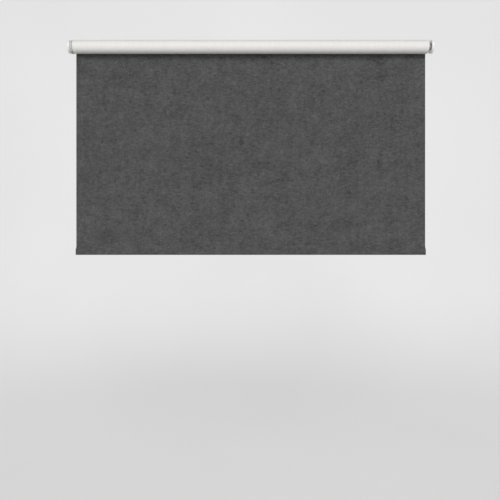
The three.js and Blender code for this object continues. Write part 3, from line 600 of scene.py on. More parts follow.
crown_low, crown_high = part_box("crown_ring")
crown_bore = NECK_RADIUS + CROWN_PLAY
crown_radius = crown_high.y
flange_inner = crown_low.x + CROWN_FLANGE
rings = [
    (crown_low.x, crown_bore + FLANGE_ROUNDING),
    (crown_low.x, crown_radius - FLANGE_ROUNDING),
    (crown_low.x + FLANGE_ROUNDING * 0.4, crown_radius - FLANGE_ROUNDING * 0.3),
    (crown_low.x + FLANGE_ROUNDING, crown_radius),
    (flange_inner, crown_radius),
    (flange_inner, TUBE_SEAT),
    (crown_high.x - CROWN_LEAD, TUBE_SEAT),
    (crown_high.x, TUBE_SEAT - CROWN_TAPER),
    (crown_high.x, crown_bore),
    (crown_low.x + FLANGE_ROUNDING, crown_bore),
]
crown = turned("crown_ring_turned", rings + rings[:1])
notched(crown, flange_inner, crown_high.x + CUT_START)
finish_piece(crown, grey_plastic, "roller", "crown_ring")


def extruded_aluminium(name, colour=(0.76, 0.77, 0.78)):
    """Extruded aluminium: fine lengthwise die lines, a clear anodised skin and faint handling marks."""
    material, tree, place = new_finish(name)
    lines = noise(tree, place, 1500.0, 3.0, stretch=(0.01, 1, 1))
    marks = noise(tree, place, 70.0, 5.0, 0.6, stretch=(0.4, 1, 1), seed=2.0)
    both = maths(tree, "MULTIPLY", lines, marks)
    skin = ramp(tree, both, (0.1, shaded(colour, 0.84)), (0.4, colour))
    return surfaced(material, skin, spread(tree, both, 0.24, 0.46), bumped(tree, lines, 0.00002), METAL)


tube_aluminium = extruded_aluminium("tube aluminium")
for name in ("roller_tube", "bottom_bar", "motor_casing"):
    nodes[name].material_slots[0].material = tube_aluminium

plug_low, plug_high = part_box("idle_plug")
plug_radius = plug_high.y
plug_bore = PIN_RADIUS + PIN_PLAY
plug_face = plug_high.x
flange_back = plug_face - PLUG_FLANGE
rings = [
    (plug_low.x, PLUG_HOLLOW_RADIUS),
    (plug_low.x, TUBE_SEAT - PLUG_CHAMFER),
    (plug_low.x + PLUG_CHAMFER, TUBE_SEAT),
    (flange_back, TUBE_SEAT),
    (flange_back, plug_radius),
    (plug_face - FLANGE_ROUNDING, plug_radius),
    (plug_face - FLANGE_ROUNDING * 0.3, plug_radius - FLANGE_ROUNDING * 0.3),
    (plug_face, plug_radius - FLANGE_ROUNDING),
    (plug_face, PLUG_RING_OUTER),
    (plug_face - PLUG_RING_DEPTH, PLUG_RING_OUTER - PLUG_RING_DEPTH),
    (plug_face - PLUG_RING_DEPTH, PLUG_RING_INNER + PLUG_RING_DEPTH),
    (plug_face, PLUG_RING_INNER),
    (plug_face, plug_bore + FLANGE_ROUNDING),
    (plug_face - FLANGE_ROUNDING, plug_bore),
    (plug_face - PLUG_FRONT_WALL, plug_bore),
    (plug_face - PLUG_FRONT_WALL, PLUG_HOLLOW_RADIUS),
]
plug = turned("idle_plug_turned", rings + rings[:1])
notched(plug, plug_low.x - CUT_START, flange_back)
plug_grey = moulded_plastic("plug mid grey", (0.30, 0.30, 0.30), (0.34, 0.5), 0.00002)
finish_piece(plug, plug_grey, "roller", "idle_plug")

pin_low, pin_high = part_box("idle_pin")
collar_radius = pin_high.y
collar_face = plug_face - COLLAR_BACK
collar_back = collar_face - COLLAR_WIDTH
rings = [(pin_low.x, PIN_RADIUS - PIN_CHAMFER), (pin_low.x + PIN_CHAMFER, PIN_RADIUS)]
rings += [(collar_back, PIN_RADIUS), (collar_back, collar_radius - COLLAR_EDGE)]
rings += [(collar_back + COLLAR_EDGE, collar_radius), (collar_face - COLLAR_EDGE, collar_radius)]
rings += [(collar_face, collar_radius - COLLAR_EDGE), (collar_face, PIN_RADIUS)]
groove_start, groove_end = (pin_high.x - back for back in PIN_GROOVE_PLACE)
rings += groove(groove_start, groove_end, PIN_RADIUS, PIN_GROOVE, PIN_GROOVE_SLOPE)
rings += [(pin_high.x - back, PIN_RADIUS - inward) for back, inward in PIN_NOSE]
pin = turned("idle_pin_turned", rings, 64)
finish_piece(pin, zinc_steel("pin steel", (0.52, 0.52, 0.53)), "idle_pin", "idle_pin")

# ---- Spring behind the idle pin ----
# A coil of drawn wire pushes the pin out into its bracket. Its last turn at each end lies closed.

SPRING_TURNS = 7
SPRING_WIRE = 0.0006
SPRING_STEPS = 36
SPRING_PITCH = 0.004
WIRE_SIDES = 12
CLOSED_PITCH = 2 * SPRING_WIRE * 1.02
CAP_PLAY = 0.0003
CAP_LEAD = 0.0005
CAP_EDGE = 0.0003


def coil_place(turns, length):
    """How far along the spring the wire is after some turns: closed at both ends, open between."""
    middle = SPRING_TURNS - 2
    open_pitch = (length - 2 * SPRING_WIRE - 2 * CLOSED_PITCH) / middle
    closed_turns = min(turns, 1) + max(0, turns - 1 - middle)
    return CLOSED_PITCH * closed_turns + open_pitch * max(0, min(turns - 1, middle))


def drawn_wire(name, colour=(0.36, 0.365, 0.38)):
    """Drawn spring wire: blued steel with fine lines along it and a brighter worn side."""
    material, tree, place = new_finish(name)
    worn = noise(tree, place, 260.0, 3.0)
    lines = noise(tree, place, 3200.0, 2.0, stretch=(1, 0.2, 0.2))
    blued = ramp(tree, worn, (0.35, shaded(colour, 0.62)), (0.65, colour))
    return surfaced(material, blued, spread(tree, worn, 0.44, 0.28), bumped(tree, lines, 0.00001), METAL)


spring_low, spring_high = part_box("idle_spring")
spring_length = spring_high.x - spring_low.x
settings = {"radius": SPRING_WIRE, "location": (spring_low.x + SPRING_WIRE, spring_high.y - SPRING_WIRE, 0)}
spring = added("idle_spring_coil", bpy.ops.mesh.primitive_circle_add, vertices=WIRE_SIDES, **settings)
settings = {"steps": SPRING_STEPS, "render_steps": SPRING_STEPS, "screw_offset": SPRING_PITCH}
modified(spring, "SCREW", axis="X", iterations=SPRING_TURNS, **settings)
for index, vertex in enumerate(spring.data.vertices):
    turns = index // WIRE_SIDES / SPRING_STEPS
    vertex.co.x += coil_place(turns, spring_length) - turns * SPRING_PITCH
bpy.ops.object.mode_set(mode="EDIT")
bpy.ops.mesh.select_mode(type="EDGE")
bpy.ops.mesh.select_all(action="DESELECT")
bpy.ops.mesh.select_non_manifold()
bpy.ops.mesh.edge_face_add()
bpy.ops.object.mode_set(mode="OBJECT")
finish_piece(faced(spring), drawn_wire("spring wire"), "roller", "idle_spring", 60)
cap_low, cap_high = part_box("idle_spring_cap")
cap_bore = PIN_RADIUS + CAP_PLAY
rings = [(cap_low.x, cap_bore), (cap_low.x, cap_high.y - CAP_LEAD), (cap_low.x + CAP_LEAD, cap_high.y)]
rings += [(cap_high.x - CAP_EDGE, cap_high.y), (cap_high.x, cap_high.y - CAP_EDGE)]
rings += [(cap_high.x, cap_bore + CAP_LEAD), (cap_high.x - CAP_LEAD, cap_bore), rings[0]]
spring_cap = turned("idle_spring_seat", rings, 64)
inner_black = moulded_plastic("inner black plastic", (0.030, 0.030, 0.032), (0.35, 0.55), 0.00003)
finish_piece(spring_cap, inner_black, "roller", "idle_spring_cap")
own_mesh(spring)

# ---- Cells, motor and gearbox housing ----
# Three lithium cells wear shrunk film over their steel cans. The motor's can is rolled over its end bell,
# and the gearbox's steel housing has a notched band where it is pressed into the casing.

FILM = 0.0003
FILM_LAP = 0.0016
FINISH_MARGIN = 0.0001
CELL_CORNER = 0.0006
CELL_BUTTON_RADIUS = 0.0030
CELL_BUTTON_HEIGHT = 0.0018
CRIMP_START = 0.0046
CRIMP_END = 0.0062
CRIMP_DEPTH = 0.0004
ROLLED_SLOPE = 0.0004
BELL_BOSS_RADIUS = 0.0040
BELL_BOSS_CHAMFER = 0.0006
BELL_BACK = 0.0010
FACE_STEP = 0.0004
BELL_RIM_RADIUS = 0.0082
CAN_LIP = 0.0012
CAN_LIP_EDGE = 0.0008
CAN_GROOVE_START = 0.0080
CAN_GROOVE_END = 0.0062
CAN_GROOVE_DEPTH = 0.0003
CAN_CORNER = 0.0014
CAN_FACE_RADIUS = 0.0050
TAB_INNER = 0.0056
TAB_OUTER = 0.0061
TAB_HALF_WIDTH = 0.0011
TAB_OUT = 0.0040
TAB_IN = 0.0020
SHAFT_HOLE_RADIUS = 0.0017
SHAFT_HOLE_DEPTH = 0.0043
HOUSING_GROOVES = ((0.0026, 0.0046), (0.0158, 0.0178))
HOUSING_GROOVE_DEPTH = 0.0004
HOUSING_CORNER = 0.0006
HOUSING_FACE_RADIUS = 0.0060
BAND_START = 0.0050
BAND_END = 0.0150
BAND_NOTCHES = 48
NOTCH_EDGE = 0.0001
NOTCH_DEPTH = 0.00015


def off_axis(point):
    return math.hypot(point.y, point.z)


def second_finish(piece, material, chosen):
    """Gives the faces whose middles pass the test another material."""
    piece.data.materials.append(material)
    for face in piece.data.polygons:
        if chosen(face.center):
            face.material_index = len(piece.data.materials) - 1


def battery_cell(node):
    """A cell from its plus end: nickel button, film lapped over both rims, and the crimp groove under it."""
    low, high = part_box(node)
    radius = high.y
    length = high.x - low.x
    lap = radius - FILM_LAP
    shoulder = CELL_BUTTON_HEIGHT
    profile = [(0.0, CELL_BUTTON_RADIUS - FILM), (FILM, CELL_BUTTON_RADIUS), (shoulder, CELL_BUTTON_RADIUS)]
    profile += [(shoulder + FILM, CELL_BUTTON_RADIUS + FILM), (shoulder + FILM, lap), (shoulder, lap)]
    profile += [(shoulder, radius - CELL_CORNER), (shoulder + CELL_CORNER, radius)]
    profile += groove(CRIMP_START, CRIMP_END, radius, CRIMP_DEPTH, ROLLED_SLOPE)
    profile += [(length - CELL_CORNER, radius), (length, radius - CELL_CORNER)]
    profile += [(length, lap), (length - FILM, lap)]
    cell = turned(node + "_wrapped", [(low.x + x, r) for x, r in profile], 64)
    finish_piece(cell, cell_wrap, "fixed", node)
    second_finish(cell, nickel, lambda middle: off_axis(middle) < lap - FINISH_MARGIN)


cell_wrap = moulded_plastic("cell wrap", (0.05, 0.16, 0.27), (0.2, 0.34), 0.00001)
nickel = zinc_steel("nickel plate", (0.62, 0.60, 0.56))
for number in (1, 2, 3):
    battery_cell("battery_cell_" + str(number))

motor_low, motor_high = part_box("dc_motor")
can_radius = motor_high.y
can_length = motor_high.x - motor_low.x
lip_radius = can_radius - CAN_LIP
bell = BELL_BACK + FACE_STEP
profile = [(0.0, BELL_BOSS_RADIUS - BELL_BOSS_CHAMFER), (FACE_STEP, BELL_BOSS_RADIUS)]
profile += [(BELL_BACK, BELL_BOSS_RADIUS), (BELL_BACK, BELL_RIM_RADIUS - FACE_STEP)]
profile += [(bell, BELL_RIM_RADIUS), (bell, lip_radius), (BELL_BACK, lip_radius)]
profile += [(BELL_BACK, can_radius - CAN_LIP_EDGE), (BELL_BACK + CAN_LIP_EDGE, can_radius)]
groove_place = (can_length - CAN_GROOVE_START, can_length - CAN_GROOVE_END)
profile += groove(*groove_place, can_radius, CAN_GROOVE_DEPTH, ROLLED_SLOPE)
profile += [(can_length - CAN_CORNER, can_radius), (can_length, can_radius - CAN_CORNER)]
profile += [(can_length, CAN_FACE_RADIUS), (can_length - FACE_STEP, CAN_FACE_RADIUS - FACE_STEP)]
motor = turned("dc_motor_can", [(motor_low.x + x, r) for x, r in profile], 96)
for side in (-1, 1):
    inner_y, outer_y = sorted((side * TAB_INNER, side * TAB_OUTER))
    tab_low = (motor_low.x - TAB_OUT, inner_y, -TAB_HALF_WIDTH)
    combine(motor, box("tab", tab_low, (motor_low.x + TAB_IN, outer_y, TAB_HALF_WIDTH)), "UNION")
inner_steel = zinc_steel("inner steel", (0.50, 0.505, 0.52))
finish_piece(motor, inner_steel, "fixed", "dc_motor")
bell_end = motor_low.x + bell + FINISH_MARGIN
second_finish(motor, inner_black, lambda middle: middle.x < bell_end and off_axis(middle) < lip_radius)
second_finish(motor, nickel, lambda middle: middle.x < motor_low.x)

unit_low, unit_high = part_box("reduction_unit")
unit_radius = unit_high.y
unit_length = unit_high.x - unit_low.x
profile = [(SHAFT_HOLE_DEPTH, SHAFT_HOLE_RADIUS), (0.0, SHAFT_HOLE_RADIUS)]
profile += [(0.0, unit_radius - HOUSING_CORNER), (HOUSING_CORNER, unit_radius)]
first_groove, last_groove = HOUSING_GROOVES
profile += groove(*first_groove, unit_radius, HOUSING_GROOVE_DEPTH, ROLLED_SLOPE)
profile += [(BAND_START, unit_radius), (BAND_END, unit_radius)]
profile += groove(*last_groove, unit_radius, HOUSING_GROOVE_DEPTH, ROLLED_SLOPE)
profile += [(unit_length - HOUSING_CORNER, unit_radius), (unit_length, unit_radius - HOUSING_CORNER)]
profile += [(unit_length, HOUSING_FACE_RADIUS), (unit_length - FACE_STEP, HOUSING_FACE_RADIUS - FACE_STEP)]
housing = turned("gearbox_housing", [(unit_high.x - x, r) for x, r in profile], 2 * BAND_NOTCHES)


def every_other_strip(face):
    """Every second strip of the band, which the notches are pressed into."""
    along = unit_high.x - face.center.x
    sector = math.atan2(face.center.z, face.center.y) / math.tau * 2 * BAND_NOTCHES
    return BAND_START < along < BAND_END and abs(face.normal.x) < 0.1 and math.floor(sector) % 2 == 0


edit_marked(housing.data.polygons, "FACE", every_other_strip)
bpy.ops.mesh.inset(thickness=NOTCH_EDGE, depth=-NOTCH_DEPTH, use_individual=True)
bpy.ops.object.mode_set(mode="OBJECT")
finish_piece(housing, inner_steel, "fixed", "reduction_unit")

# ---- Works inside the tube ----
# Sealed in the casing are the control board and the last gear stage, whose shaft leaves through a bush
# and turns the drive wheel. A spring clip holds the wheel, and a strip of tape the cloth's inner end.

PLUG_REACH = 0.0405
BOARD_SKIN = 0.00085


def machined_brass(name):
    """Hobbed brass: warm yellow with cutter lines and a little tarnish in the roots."""
    material, tree, place = new_finish(name)
    tarnish = noise(tree, place, 700.0, 4.0)
    lines = noise(tree, place, 2500.0, 2.0, stretch=(1, 0.1, 0.1))
    yellow = ramp(tree, tarnish, (0.25, (0.54, 0.40, 0.16)), (0.65, (0.70, 0.53, 0.23)))
    return surfaced(material, yellow, spread(tree, tarnish, 0.42, 0.24), bumped(tree, lines, 0.00001), METAL)


def mixed(tree, factor, first, second, blend="MIX"):
    inputs = {0: factor, 6: first, 7: second}
    return add_node(tree, "Mix", inputs, data_type="RGBA", blend_type=blend)[2]


def circuit_board(name):
    """Lacquered green laminate with pale tracks. What stands on it is black, or cream at the two plugs."""
    material, tree, place = new_finish(name)
    low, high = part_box("control_board")
    inputs = {"Vector": place, "Scale": 260.0, "Mortar Size": 0.08, "Brick Width": 2.4}
    inputs.update(Color1=(0.02, 0.12, 0.045, 1), Color2=(0.03, 0.17, 0.06, 1), Mortar=(0.08, 0.30, 0.13, 1))
    tracks = add_node(tree, "TexBrick", inputs)
    along, _, up = add_node(tree, "SeparateXYZ", {0: place})
    height = maths(tree, "ABSOLUTE", up)
    from_middle = maths(tree, "ABSOLUTE", maths(tree, "SUBTRACT", along, (low.x + high.x) / 2))
    moulding = noise(tree, place, 900.0, 3.0)
    chips = ramp(tree, moulding, (0.3, (0.018, 0.018, 0.02)), (0.7, (0.035, 0.035, 0.038)))
    plugs = ramp(tree, moulding, (0.3, (0.70, 0.66, 0.54)), (0.7, (0.78, 0.74, 0.62)))
    fitted = mixed(tree, maths(tree, "GREATER_THAN", from_middle, PLUG_REACH), chips, plugs)
    colour = mixed(tree, maths(tree, "GREATER_THAN", height, BOARD_SKIN), tracks["Color"], fitted)
    gloss = spread(tree, noise(tree, place, 300.0), 0.25, 0.45)
    return surfaced(material, colour, gloss, bumped(tree, tracks["Fac"], 0.00003), {})


gears = ("ring_gear", "sun_gear", "planet_gear_1", "planet_gear_2", "planet_gear_3")
inner_finishes = {
    circuit_board("control board green"): ("control_board",),
    inner_steel: ("planet_carrier",),
    machined_brass("gear brass"): gears,
    inner_black: ("output_bush", "drive_wheel"),
    zinc_steel("spring steel", (0.36, 0.365, 0.38)): ("shaft_clip",),
    moulded_plastic("tape film", (0.72, 0.70, 0.62), (0.12, 0.24), 0.00001): ("fabric_tape",),
}
for material, names in inner_finishes.items():
    for name in names:
        nodes[name].material_slots[0].material = material

# ---- Blackout cloth: the hanging drop ----
# One length of charcoal polyester, woven face to the room, with an off-white acrylic coat behind it.
# It leaves the back of the roll and hangs under the weight of the bar. Its cut edges are left raw.

drop_low, drop_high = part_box("fabric_drop")
CLOTH = drop_high.y - drop_low.y
HALF_CLOTH = drop_high.x
ROLL_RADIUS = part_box("fabric_roll")[1].y
DROP_LEAN = 0.0006
DROP_ROWS = 120
WRAP_FACETS = 128
WRAP_DIP = 1.1 * CLOTH
CLOTH_COLUMNS = 60
EDGE_ROW = 0.0001
THREAD = 0.0005
WAVE_SCALE = math.pi / 10 / THREAD


def plus(tree, base, layer, weight):
    """Adds one layer of the figure, at its weight, to what is there."""
    return maths(tree, "MULTIPLY_ADD", layer, weight, base)


def plain_weave(tree, place):
    """The height of warp and weft threads that pass over each other by turns."""
    inputs = {0: place, "Scale": WAVE_SCALE}
    warp = add_node(tree, "TexWave", inputs, bands_direction="X")[1]
    weft = add_node(tree, "TexWave", inputs, bands_direction="Z")[1]
    over = add_node(tree, "TexChecker", {0: place, "Scale": 1 / THREAD})[1]
    return add_node(tree, "Mix", {0: over, 2: warp, 3: weft})[0]


def grey(value):
    return (value, value, value)


def dark_cloth(name):
    """Charcoal plain weave: every weft yarn has its own tone and thickens into short wavy slubs, and the
    weave's height is painted in as shade, darker between threads.
    """
    material, tree, place = new_finish(name)
    wander = add_node(tree, "TexNoise", {0: place, "Scale": 70.0, "Detail": 2.0})[1]
    centred = add_node(tree, "VectorMath", {0: wander, 1: grey(0.5)}, operation="SUBTRACT")[0]
    threads = {0: place, 1: (THREAD, 0.00001, THREAD)}
    laid = add_node(tree, "VectorMath", threads, operation="SNAP")[0]
    inputs = {0: centred, 1: (0.012, 0.0, 0.010), 2: laid}
    warped = add_node(tree, "VectorMath", inputs, operation="MULTIPLY_ADD")[0]
    figure = maths(tree, "MULTIPLY", noise(tree, warped, 40.0, 3.0, 0.66, (1, 1, 25), 1.0), 0.38)
    figure = plus(tree, figure, noise(tree, laid, 40.0, 3.0, 0.66, (25, 1, 1), 7.0), 0.16)
    figure = plus(tree, figure, noise(tree, warped, 80.0, 3.0, 0.62, (1, 1, 1.5), 3.0), 0.24)
    figure = plus(tree, figure, noise(tree, warped, 170.0, 2.0, 0.6, (1, 1, 1.2), 5.0), 0.26)
    figure = plus(tree, figure, noise(tree, place, 20.0, 3.0, 0.5, (1, 1, 1.3), 11.0), 0.15)
    figure = plus(tree, figure, noise(tree, place, 60.0, 2.0, 0.5, (1, 1, 0.1), 9.0), 0.07)
    weave = plain_weave(tree, place)
    ground = ramp(tree, figure, (0.43, (0.0102, 0.0102, 0.0104)), (0.83, (0.149, 0.149, 0.1496)))
    # painted shade: the colour is darkened in the weave's hollows and lightened a little on its raised
    # threads
    painted_weave_shade = ramp(tree, weave, (0.0, grey(0.60)), (0.8, grey(1.08)))
    relief = bumped(tree, figure, 0.0008, Strength=0.5)
    relief = bumped(tree, weave, 0.00012, Normal=relief)
    nap = {"Specular IOR Level": 0.25, "Sheen Weight": 0.12, "Sheen Roughness": 0.5}
    colour = mixed(tree, 1.0, ground, painted_weave_shade, "MULTIPLY")
    return surfaced(material, colour, spread(tree, figure, 0.94, 0.74), relief, nap)


def coated_back(name):
    """Foamed acrylic coat: warm off-white, drawn on in soft streaks, with the weave showing through."""
    material, tree, place = new_finish(name)
    mottle = noise(tree, place, 380.0, 4.0, 0.65)
    cloud = noise(tree, place, 12.0, 2.0, 0.5, seed=4.0)
    streaks = noise(tree, place, 90.0, 3.0, 0.6, (1, 1, 0.1), 6.0)
    coat = plus(tree, maths(tree, "MULTIPLY", mottle, 0.55), cloud, 0.1)
    coat = plus(tree, coat, streaks, 0.35)
    tint = ramp(tree, coat, (0.36, (0.762, 0.750, 0.718)), (0.62, (0.834, 0.825, 0.798)))
    weave = plain_weave(tree, place)
    shade = ramp(tree, weave, (0.0, grey(0.96)), (0.7, grey(1.01)))
    pores = noise(tree, place, 1800.0, 3.0, 0.6, seed=2.0)
    relief = bumped(tree, weave, 0.00003, Normal=bumped(tree, pores, 0.00008, Strength=0.6))
    colour = mixed(tree, 1.0, tint, shade, "MULTIPLY")
    return surfaced(material, colour, spread(tree, mottle, 0.46, 0.64), relief, {"Specular IOR Level": 0.35})


def raw_edge(name):
    """The cut edge: charcoal threads with the pale coat just showing between them."""
    material, tree, place = new_finish(name)
    ends = noise(tree, place, 2400.0, 2.0)
    colour = ramp(tree, ends, (0.35, grey(0.05)), (0.7, (0.22, 0.215, 0.21)))
    return surfaced(material, colour, spread(tree, ends, 0.7, 0.95), bumped(tree, ends, 0.0001), {})


cloth_finishes = (coated_back("off-white coat"), dark_cloth("charcoal weave"), raw_edge("cut cloth edge"))


def beside(end, next_point):
    """A point a hair in from the end of a path, which keeps the shading flat up to the cut edge."""
    share = EDGE_ROW / math.dist(end, next_point)
    return tuple(a + (b - a) * share for a, b in zip(end, next_point))


def cloth_sheet(name, path, columns):
    """A single layer of cloth, straight along X on a path of (y, z), with its thickness added live."""
    inner_end = HALF_CLOTH - EDGE_ROW
    xs = [-inner_end + 2 * inner_end * i / columns for i in range(columns + 1)]
    xs = [-HALF_CLOTH] + xs + [HALF_CLOTH]
    path = path[:1] + [beside(*path[:2])] + path[1:-1] + [beside(*path[:-3:-1])] + path[-1:]
    points = [(x, y, z) for y, z in path for x in xs]
    row = len(xs)
    starts = [j * row + i for j in range(len(path) - 1) for i in range(row - 1)]
    mesh = bpy.data.meshes.new(name)
    mesh.from_pydata(points, [], [(start, start + 1, start + row + 1, start + row) for start in starts])
    mesh.polygons.foreach_set("use_smooth", [True] * len(mesh.polygons))
    for material in cloth_finishes:
        mesh.materials.append(material)
    sheet = bpy.data.objects.new(name, mesh)
    bpy.context.scene.collection.objects.link(sheet)
    wall = sheet.modifiers.new("thickness", "SOLIDIFY")
    wall.thickness = CLOTH
    wall.offset = 0
    wall.use_rim = True
    wall.material_offset = 1
    wall.material_offset_rim = 2
    return sheet


def spiral(turns, inner, outer, steps):
    """Points of cloth wound on the roll, from its inner end out to the side where the drop leaves."""
    path = []
    for i in range(steps + 1):
        share = i / steps
        turn = math.tau * turns * (1 - share)
        radius = inner + (outer - inner) * share
        path.append((radius * math.cos(turn), radius * math.sin(turn)))
    return path


# The outer turn and the drop are one piece. The drop leans back by half a millimetre in all, shaped so
# that every point's share of the bar's travel is its share of the drop, and the cloth stays flat.
wrap_radius = ROLL_RADIUS - CLOTH / 2
drop_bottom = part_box("hem_pocket")[1].z
path = spiral(1, wrap_radius - WRAP_DIP, wrap_radius, WRAP_FACETS)
for i in range(1, DROP_ROWS + 1):
    share = i / DROP_ROWS
    lean = 0.5 - math.sin(math.asin(1 - 2 * share) / 3)
    path.append((wrap_radius + DROP_LEAN * lean, drop_bottom * share))
drop = cloth_sheet("hanging_cloth", path, CLOTH_COLUMNS)
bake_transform(drop)
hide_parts("fabric_drop")

# ---- Roll of cloth ----
# The rest of the same cloth, wound on the tube with its coated back outwards. The turns lie tight on
# each other, and only their raw edges show, as a fine spiral at both ends.

ROLL_TURNS = 5
ROLL_PITCH = 0.00026
ROLL_FILL = 0.92
ROLL_FACETS = 96
ROLL_COLUMNS = 8
roll_outer = wrap_radius - CLOTH - WRAP_DIP
roll_inner = roll_outer - ROLL_TURNS * ROLL_PITCH
path = spiral(ROLL_TURNS, roll_inner, roll_outer, ROLL_TURNS * ROLL_FACETS)
roll = cloth_sheet("cloth_roll", path, ROLL_COLUMNS)
roll.modifiers["thickness"].thickness = ROLL_PITCH * ROLL_FILL
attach(roll, "roller")
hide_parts("fabric_roll")

# ---- Hem pocket and bottom bar ----
# The cloth is folded round the bar, woven face outwards, and its end is welded to the back of the drop.
# The bar is a flat hollow aluminium lath, which weights the cloth and keeps it straight.

POCKET_PLAY = 0.0003
WELD_DROP = 0.0015
WELD_LIFT = 1.06 * CLOTH
ARC_STEPS = 14
SLOPE_STEPS = 6
SIDE_STEPS = 5
bar_low, bar_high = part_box("bottom_bar")
bar_y = (bar_low.y + bar_high.y) / 2
bar_z = (bar_low.z + bar_high.z) / 2
bar_depth = bar_high.y - bar_low.y
bar_height = bar_high.z - bar_low.z
pocket_radius = bar_depth / 2 + POCKET_PLAY + CLOTH / 2
arc_top = bar_z + (bar_height - bar_depth) / 2
arc_bottom = bar_z - (bar_height - bar_depth) / 2
front_y = wrap_radius + DROP_LEAN
weld_z = drop_bottom - WELD_DROP
flap_y = front_y + WELD_LIFT


def tangent_turn(from_y, side):
    """Where a straight length of cloth from beside the weld touches the round over the bar."""
    away = math.hypot(from_y - bar_y, weld_z - arc_top)
    upward = math.atan2(weld_z - arc_top, from_y - bar_y)
    return upward + side * (math.pi / 2 - math.asin(pocket_radius / away))


def arc(middle_z, start, end, steps):
    """Points round the bar, from one turn to another."""
    turns = [start + (end - start) * i / steps for i in range(steps + 1)]
    around = [(pocket_radius * math.cos(turn), pocket_radius * math.sin(turn)) for turn in turns]
    return [(bar_y + across, middle_z + up) for across, up in around]


def straight(start, end, steps):
    """Points along a straight length, without its two ends."""
    shares = [i / steps for i in range(1, steps)]
    return [tuple(a + (b - a) * share for a, b in zip(start, end)) for share in shares]


over_front = arc(arc_top, tangent_turn(front_y, 1), math.pi, ARC_STEPS)
under = arc(arc_bottom, math.pi, math.tau, 2 * ARC_STEPS)
over_back = arc(arc_top, 0, tangent_turn(flap_y, -1), ARC_STEPS)
path = [(front_y, drop_bottom), (front_y, weld_z)]
path += straight(path[-1], over_front[0], SLOPE_STEPS) + over_front
path += straight(over_front[-1], under[0], SIDE_STEPS) + under
path += straight(under[-1], over_back[0], SIDE_STEPS) + over_back
path += straight(over_back[-1], (flap_y, weld_z), SLOPE_STEPS)
path += [(flap_y, weld_z), (flap_y, drop_bottom)]
pocket = cloth_sheet("hem_pocket_cloth", path, CLOTH_COLUMNS)
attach(pocket, "bar")
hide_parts("hem_pocket")

# ---- Bar end caps ----
# A flat-sided plug of black plastic closes each end of the bar and hides the pocket's raw ends.
# Its tongue presses into the hollow lath, and its face has softened edges.

CAP_SOFTENING = 0.00045
TONGUE_LENGTH = 0.012
TONGUE_OVERLAP = 0.0004
LATH_WALLS = 0.0028


def bar_cap(name):
    """The cap for the idle end: a flat stadium face with softened edges, and a tongue that fits the lath."""
    face_low, face_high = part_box("bar_end_cap_right")
    thickness = face_high.x - (face_low.x + TONGUE_LENGTH)
    face = stadium(name, face_high.z - face_low.z, face_high.y - face_low.y, thickness)
    settings = {"limit_method": "ANGLE", "angle_limit": math.radians(60)}
    modified(face, "BEVEL", width=CAP_SOFTENING, segments=4, **settings)
    inside = (bar_height - LATH_WALLS, bar_depth - LATH_WALLS)
    tongue = stadium("tongue", *inside, TONGUE_LENGTH + TONGUE_OVERLAP)
    placed(tongue, Matrix.Translation((0, 0, -(thickness + TONGUE_LENGTH) / 2)))
    combine(face, tongue, "UNION")
    along_x = Matrix(((0, 0, 1, 0), (1, 0, 0, 0), (0, 1, 0, 0), (0, 0, 0, 1)))
    return placed(face, Matrix.Translation((face_high.x - thickness / 2, bar_y, bar_z)) @ along_x)


cap_black = moulded_plastic("cap charcoal plastic", (0.055, 0.055, 0.057), (0.4, 0.58), 0.00003)
finish_piece(bar_cap("right_end_cap"), cap_black, "bar", "bar_end_cap_right")
finish_piece(mirrored(bar_cap("left_end_cap")), cap_black, "bar", "bar_end_cap_left")

# ---- Camera, room and light ----
# A level camera at window height in a pale domed room, whose floor sweeps up into the wall all round.
# Six broad soft suns light it: a main one from above and a low one from below on both long sides,
# and one from each end.

CAMERA_PLACE = (-0.0025, -1.703, -0.671)
LENS = 37.1
FLOOR_Z = -2.05
ROOM_RADIUS = 4.2
COVE = 1.2
WALL_HEIGHT = 3.0
POLE = 0.01
ROOM_GLOW = 0.45
SKY_GLOW = 0.05
MAIN_HEIGHT = math.radians(19)
MAIN_SPREAD = 36
MAIN_STRENGTH = 2.0
LOW_HEIGHT = math.radians(34)
LOW_SPREAD = 50
LOW_STRENGTH = 1.12
SIDE_FALL = 0.2
SIDE_SPREAD = 70
SIDE_STRENGTH = 0.95

camera_data = bpy.data.cameras.new("camera")
camera_data.lens = LENS
camera_data.sensor_width = 36
camera_data.clip_start = 0.05
camera_data.clip_end = 60
camera = bpy.data.objects.new("camera", camera_data)
camera.location = CAMERA_PLACE
camera.rotation_euler = (math.pi / 2, 0, 0)
bpy.context.scene.collection.objects.link(camera)
bpy.context.scene.camera = camera

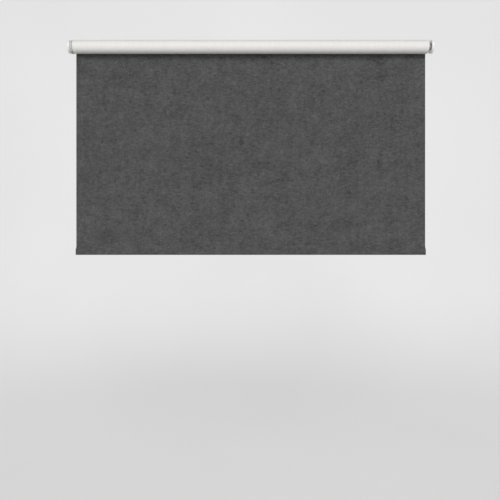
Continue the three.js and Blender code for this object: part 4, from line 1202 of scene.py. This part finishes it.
rings = [(0.0, POLE)] + [(COVE * x, ROOM_RADIUS - COVE * r) for x, r in rounding(16)]
rings += [(WALL_HEIGHT + ROOM_RADIUS * (1 - r), max(POLE, ROOM_RADIUS * (1 - x))) for x, r in rounding(24)]
room_shell = turned("room_shell", rings, 96)
placed(room_shell, Matrix.Translation((0, 0, FLOOR_Z)) @ Matrix.Rotation(-math.pi / 2, 4, "Y"))
smooth(faced(room_shell, inside=True), 60)
plaster, tree, place = new_finish("pale plaster")
inputs = {"Base Color": ramp(tree, noise(tree, place, 0.8, 2.0), (0.3, grey(0.34)), (0.7, grey(0.36)))}
inputs.update({"Roughness": 0.95, "Specular IOR Level": 0.0})
inputs.update({"Emission Color": (1, 1, 1, 1), "Emission Strength": ROOM_GLOW})
wired(tree, tree.nodes["Principled BSDF"], inputs)
room_shell.data.materials.append(plaster)
room_shell.visible_diffuse = False
room_shell.visible_shadow = False


def soft_sun(name, travel, spread_degrees, strength):
    """A broad even light that travels along one direction, as from a large soft box a long way off."""
    lamp_data = bpy.data.lights.new(name, "SUN")
    lamp_data.angle = math.radians(spread_degrees)
    lamp_data.energy = strength
    lamp = bpy.data.objects.new(name, lamp_data)
    lamp.rotation_euler = Vector(travel).to_track_quat("-Z", "Y").to_euler()
    bpy.context.scene.collection.objects.link(lamp)


for across in (1, -1):
    main_travel = (0, across * math.cos(MAIN_HEIGHT), -math.sin(MAIN_HEIGHT))
    low_travel = (0, across * math.cos(LOW_HEIGHT), math.sin(LOW_HEIGHT))
    soft_sun("main_light", main_travel, MAIN_SPREAD, MAIN_STRENGTH)
    soft_sun("low_light", low_travel, LOW_SPREAD, LOW_STRENGTH)
for side in (-1, 1):
    soft_sun("side_light", (side, 0, -SIDE_FALL), SIDE_SPREAD, SIDE_STRENGTH)

world = bpy.data.worlds.new("studio")
bpy.context.scene.world = world
world.use_nodes = True
background = {"Color": (1, 1, 1, 1), "Strength": SKY_GLOW}
wired(world.node_tree, world.node_tree.nodes["Background"], background)
bpy.context.scene.view_settings.view_transform = "Standard"
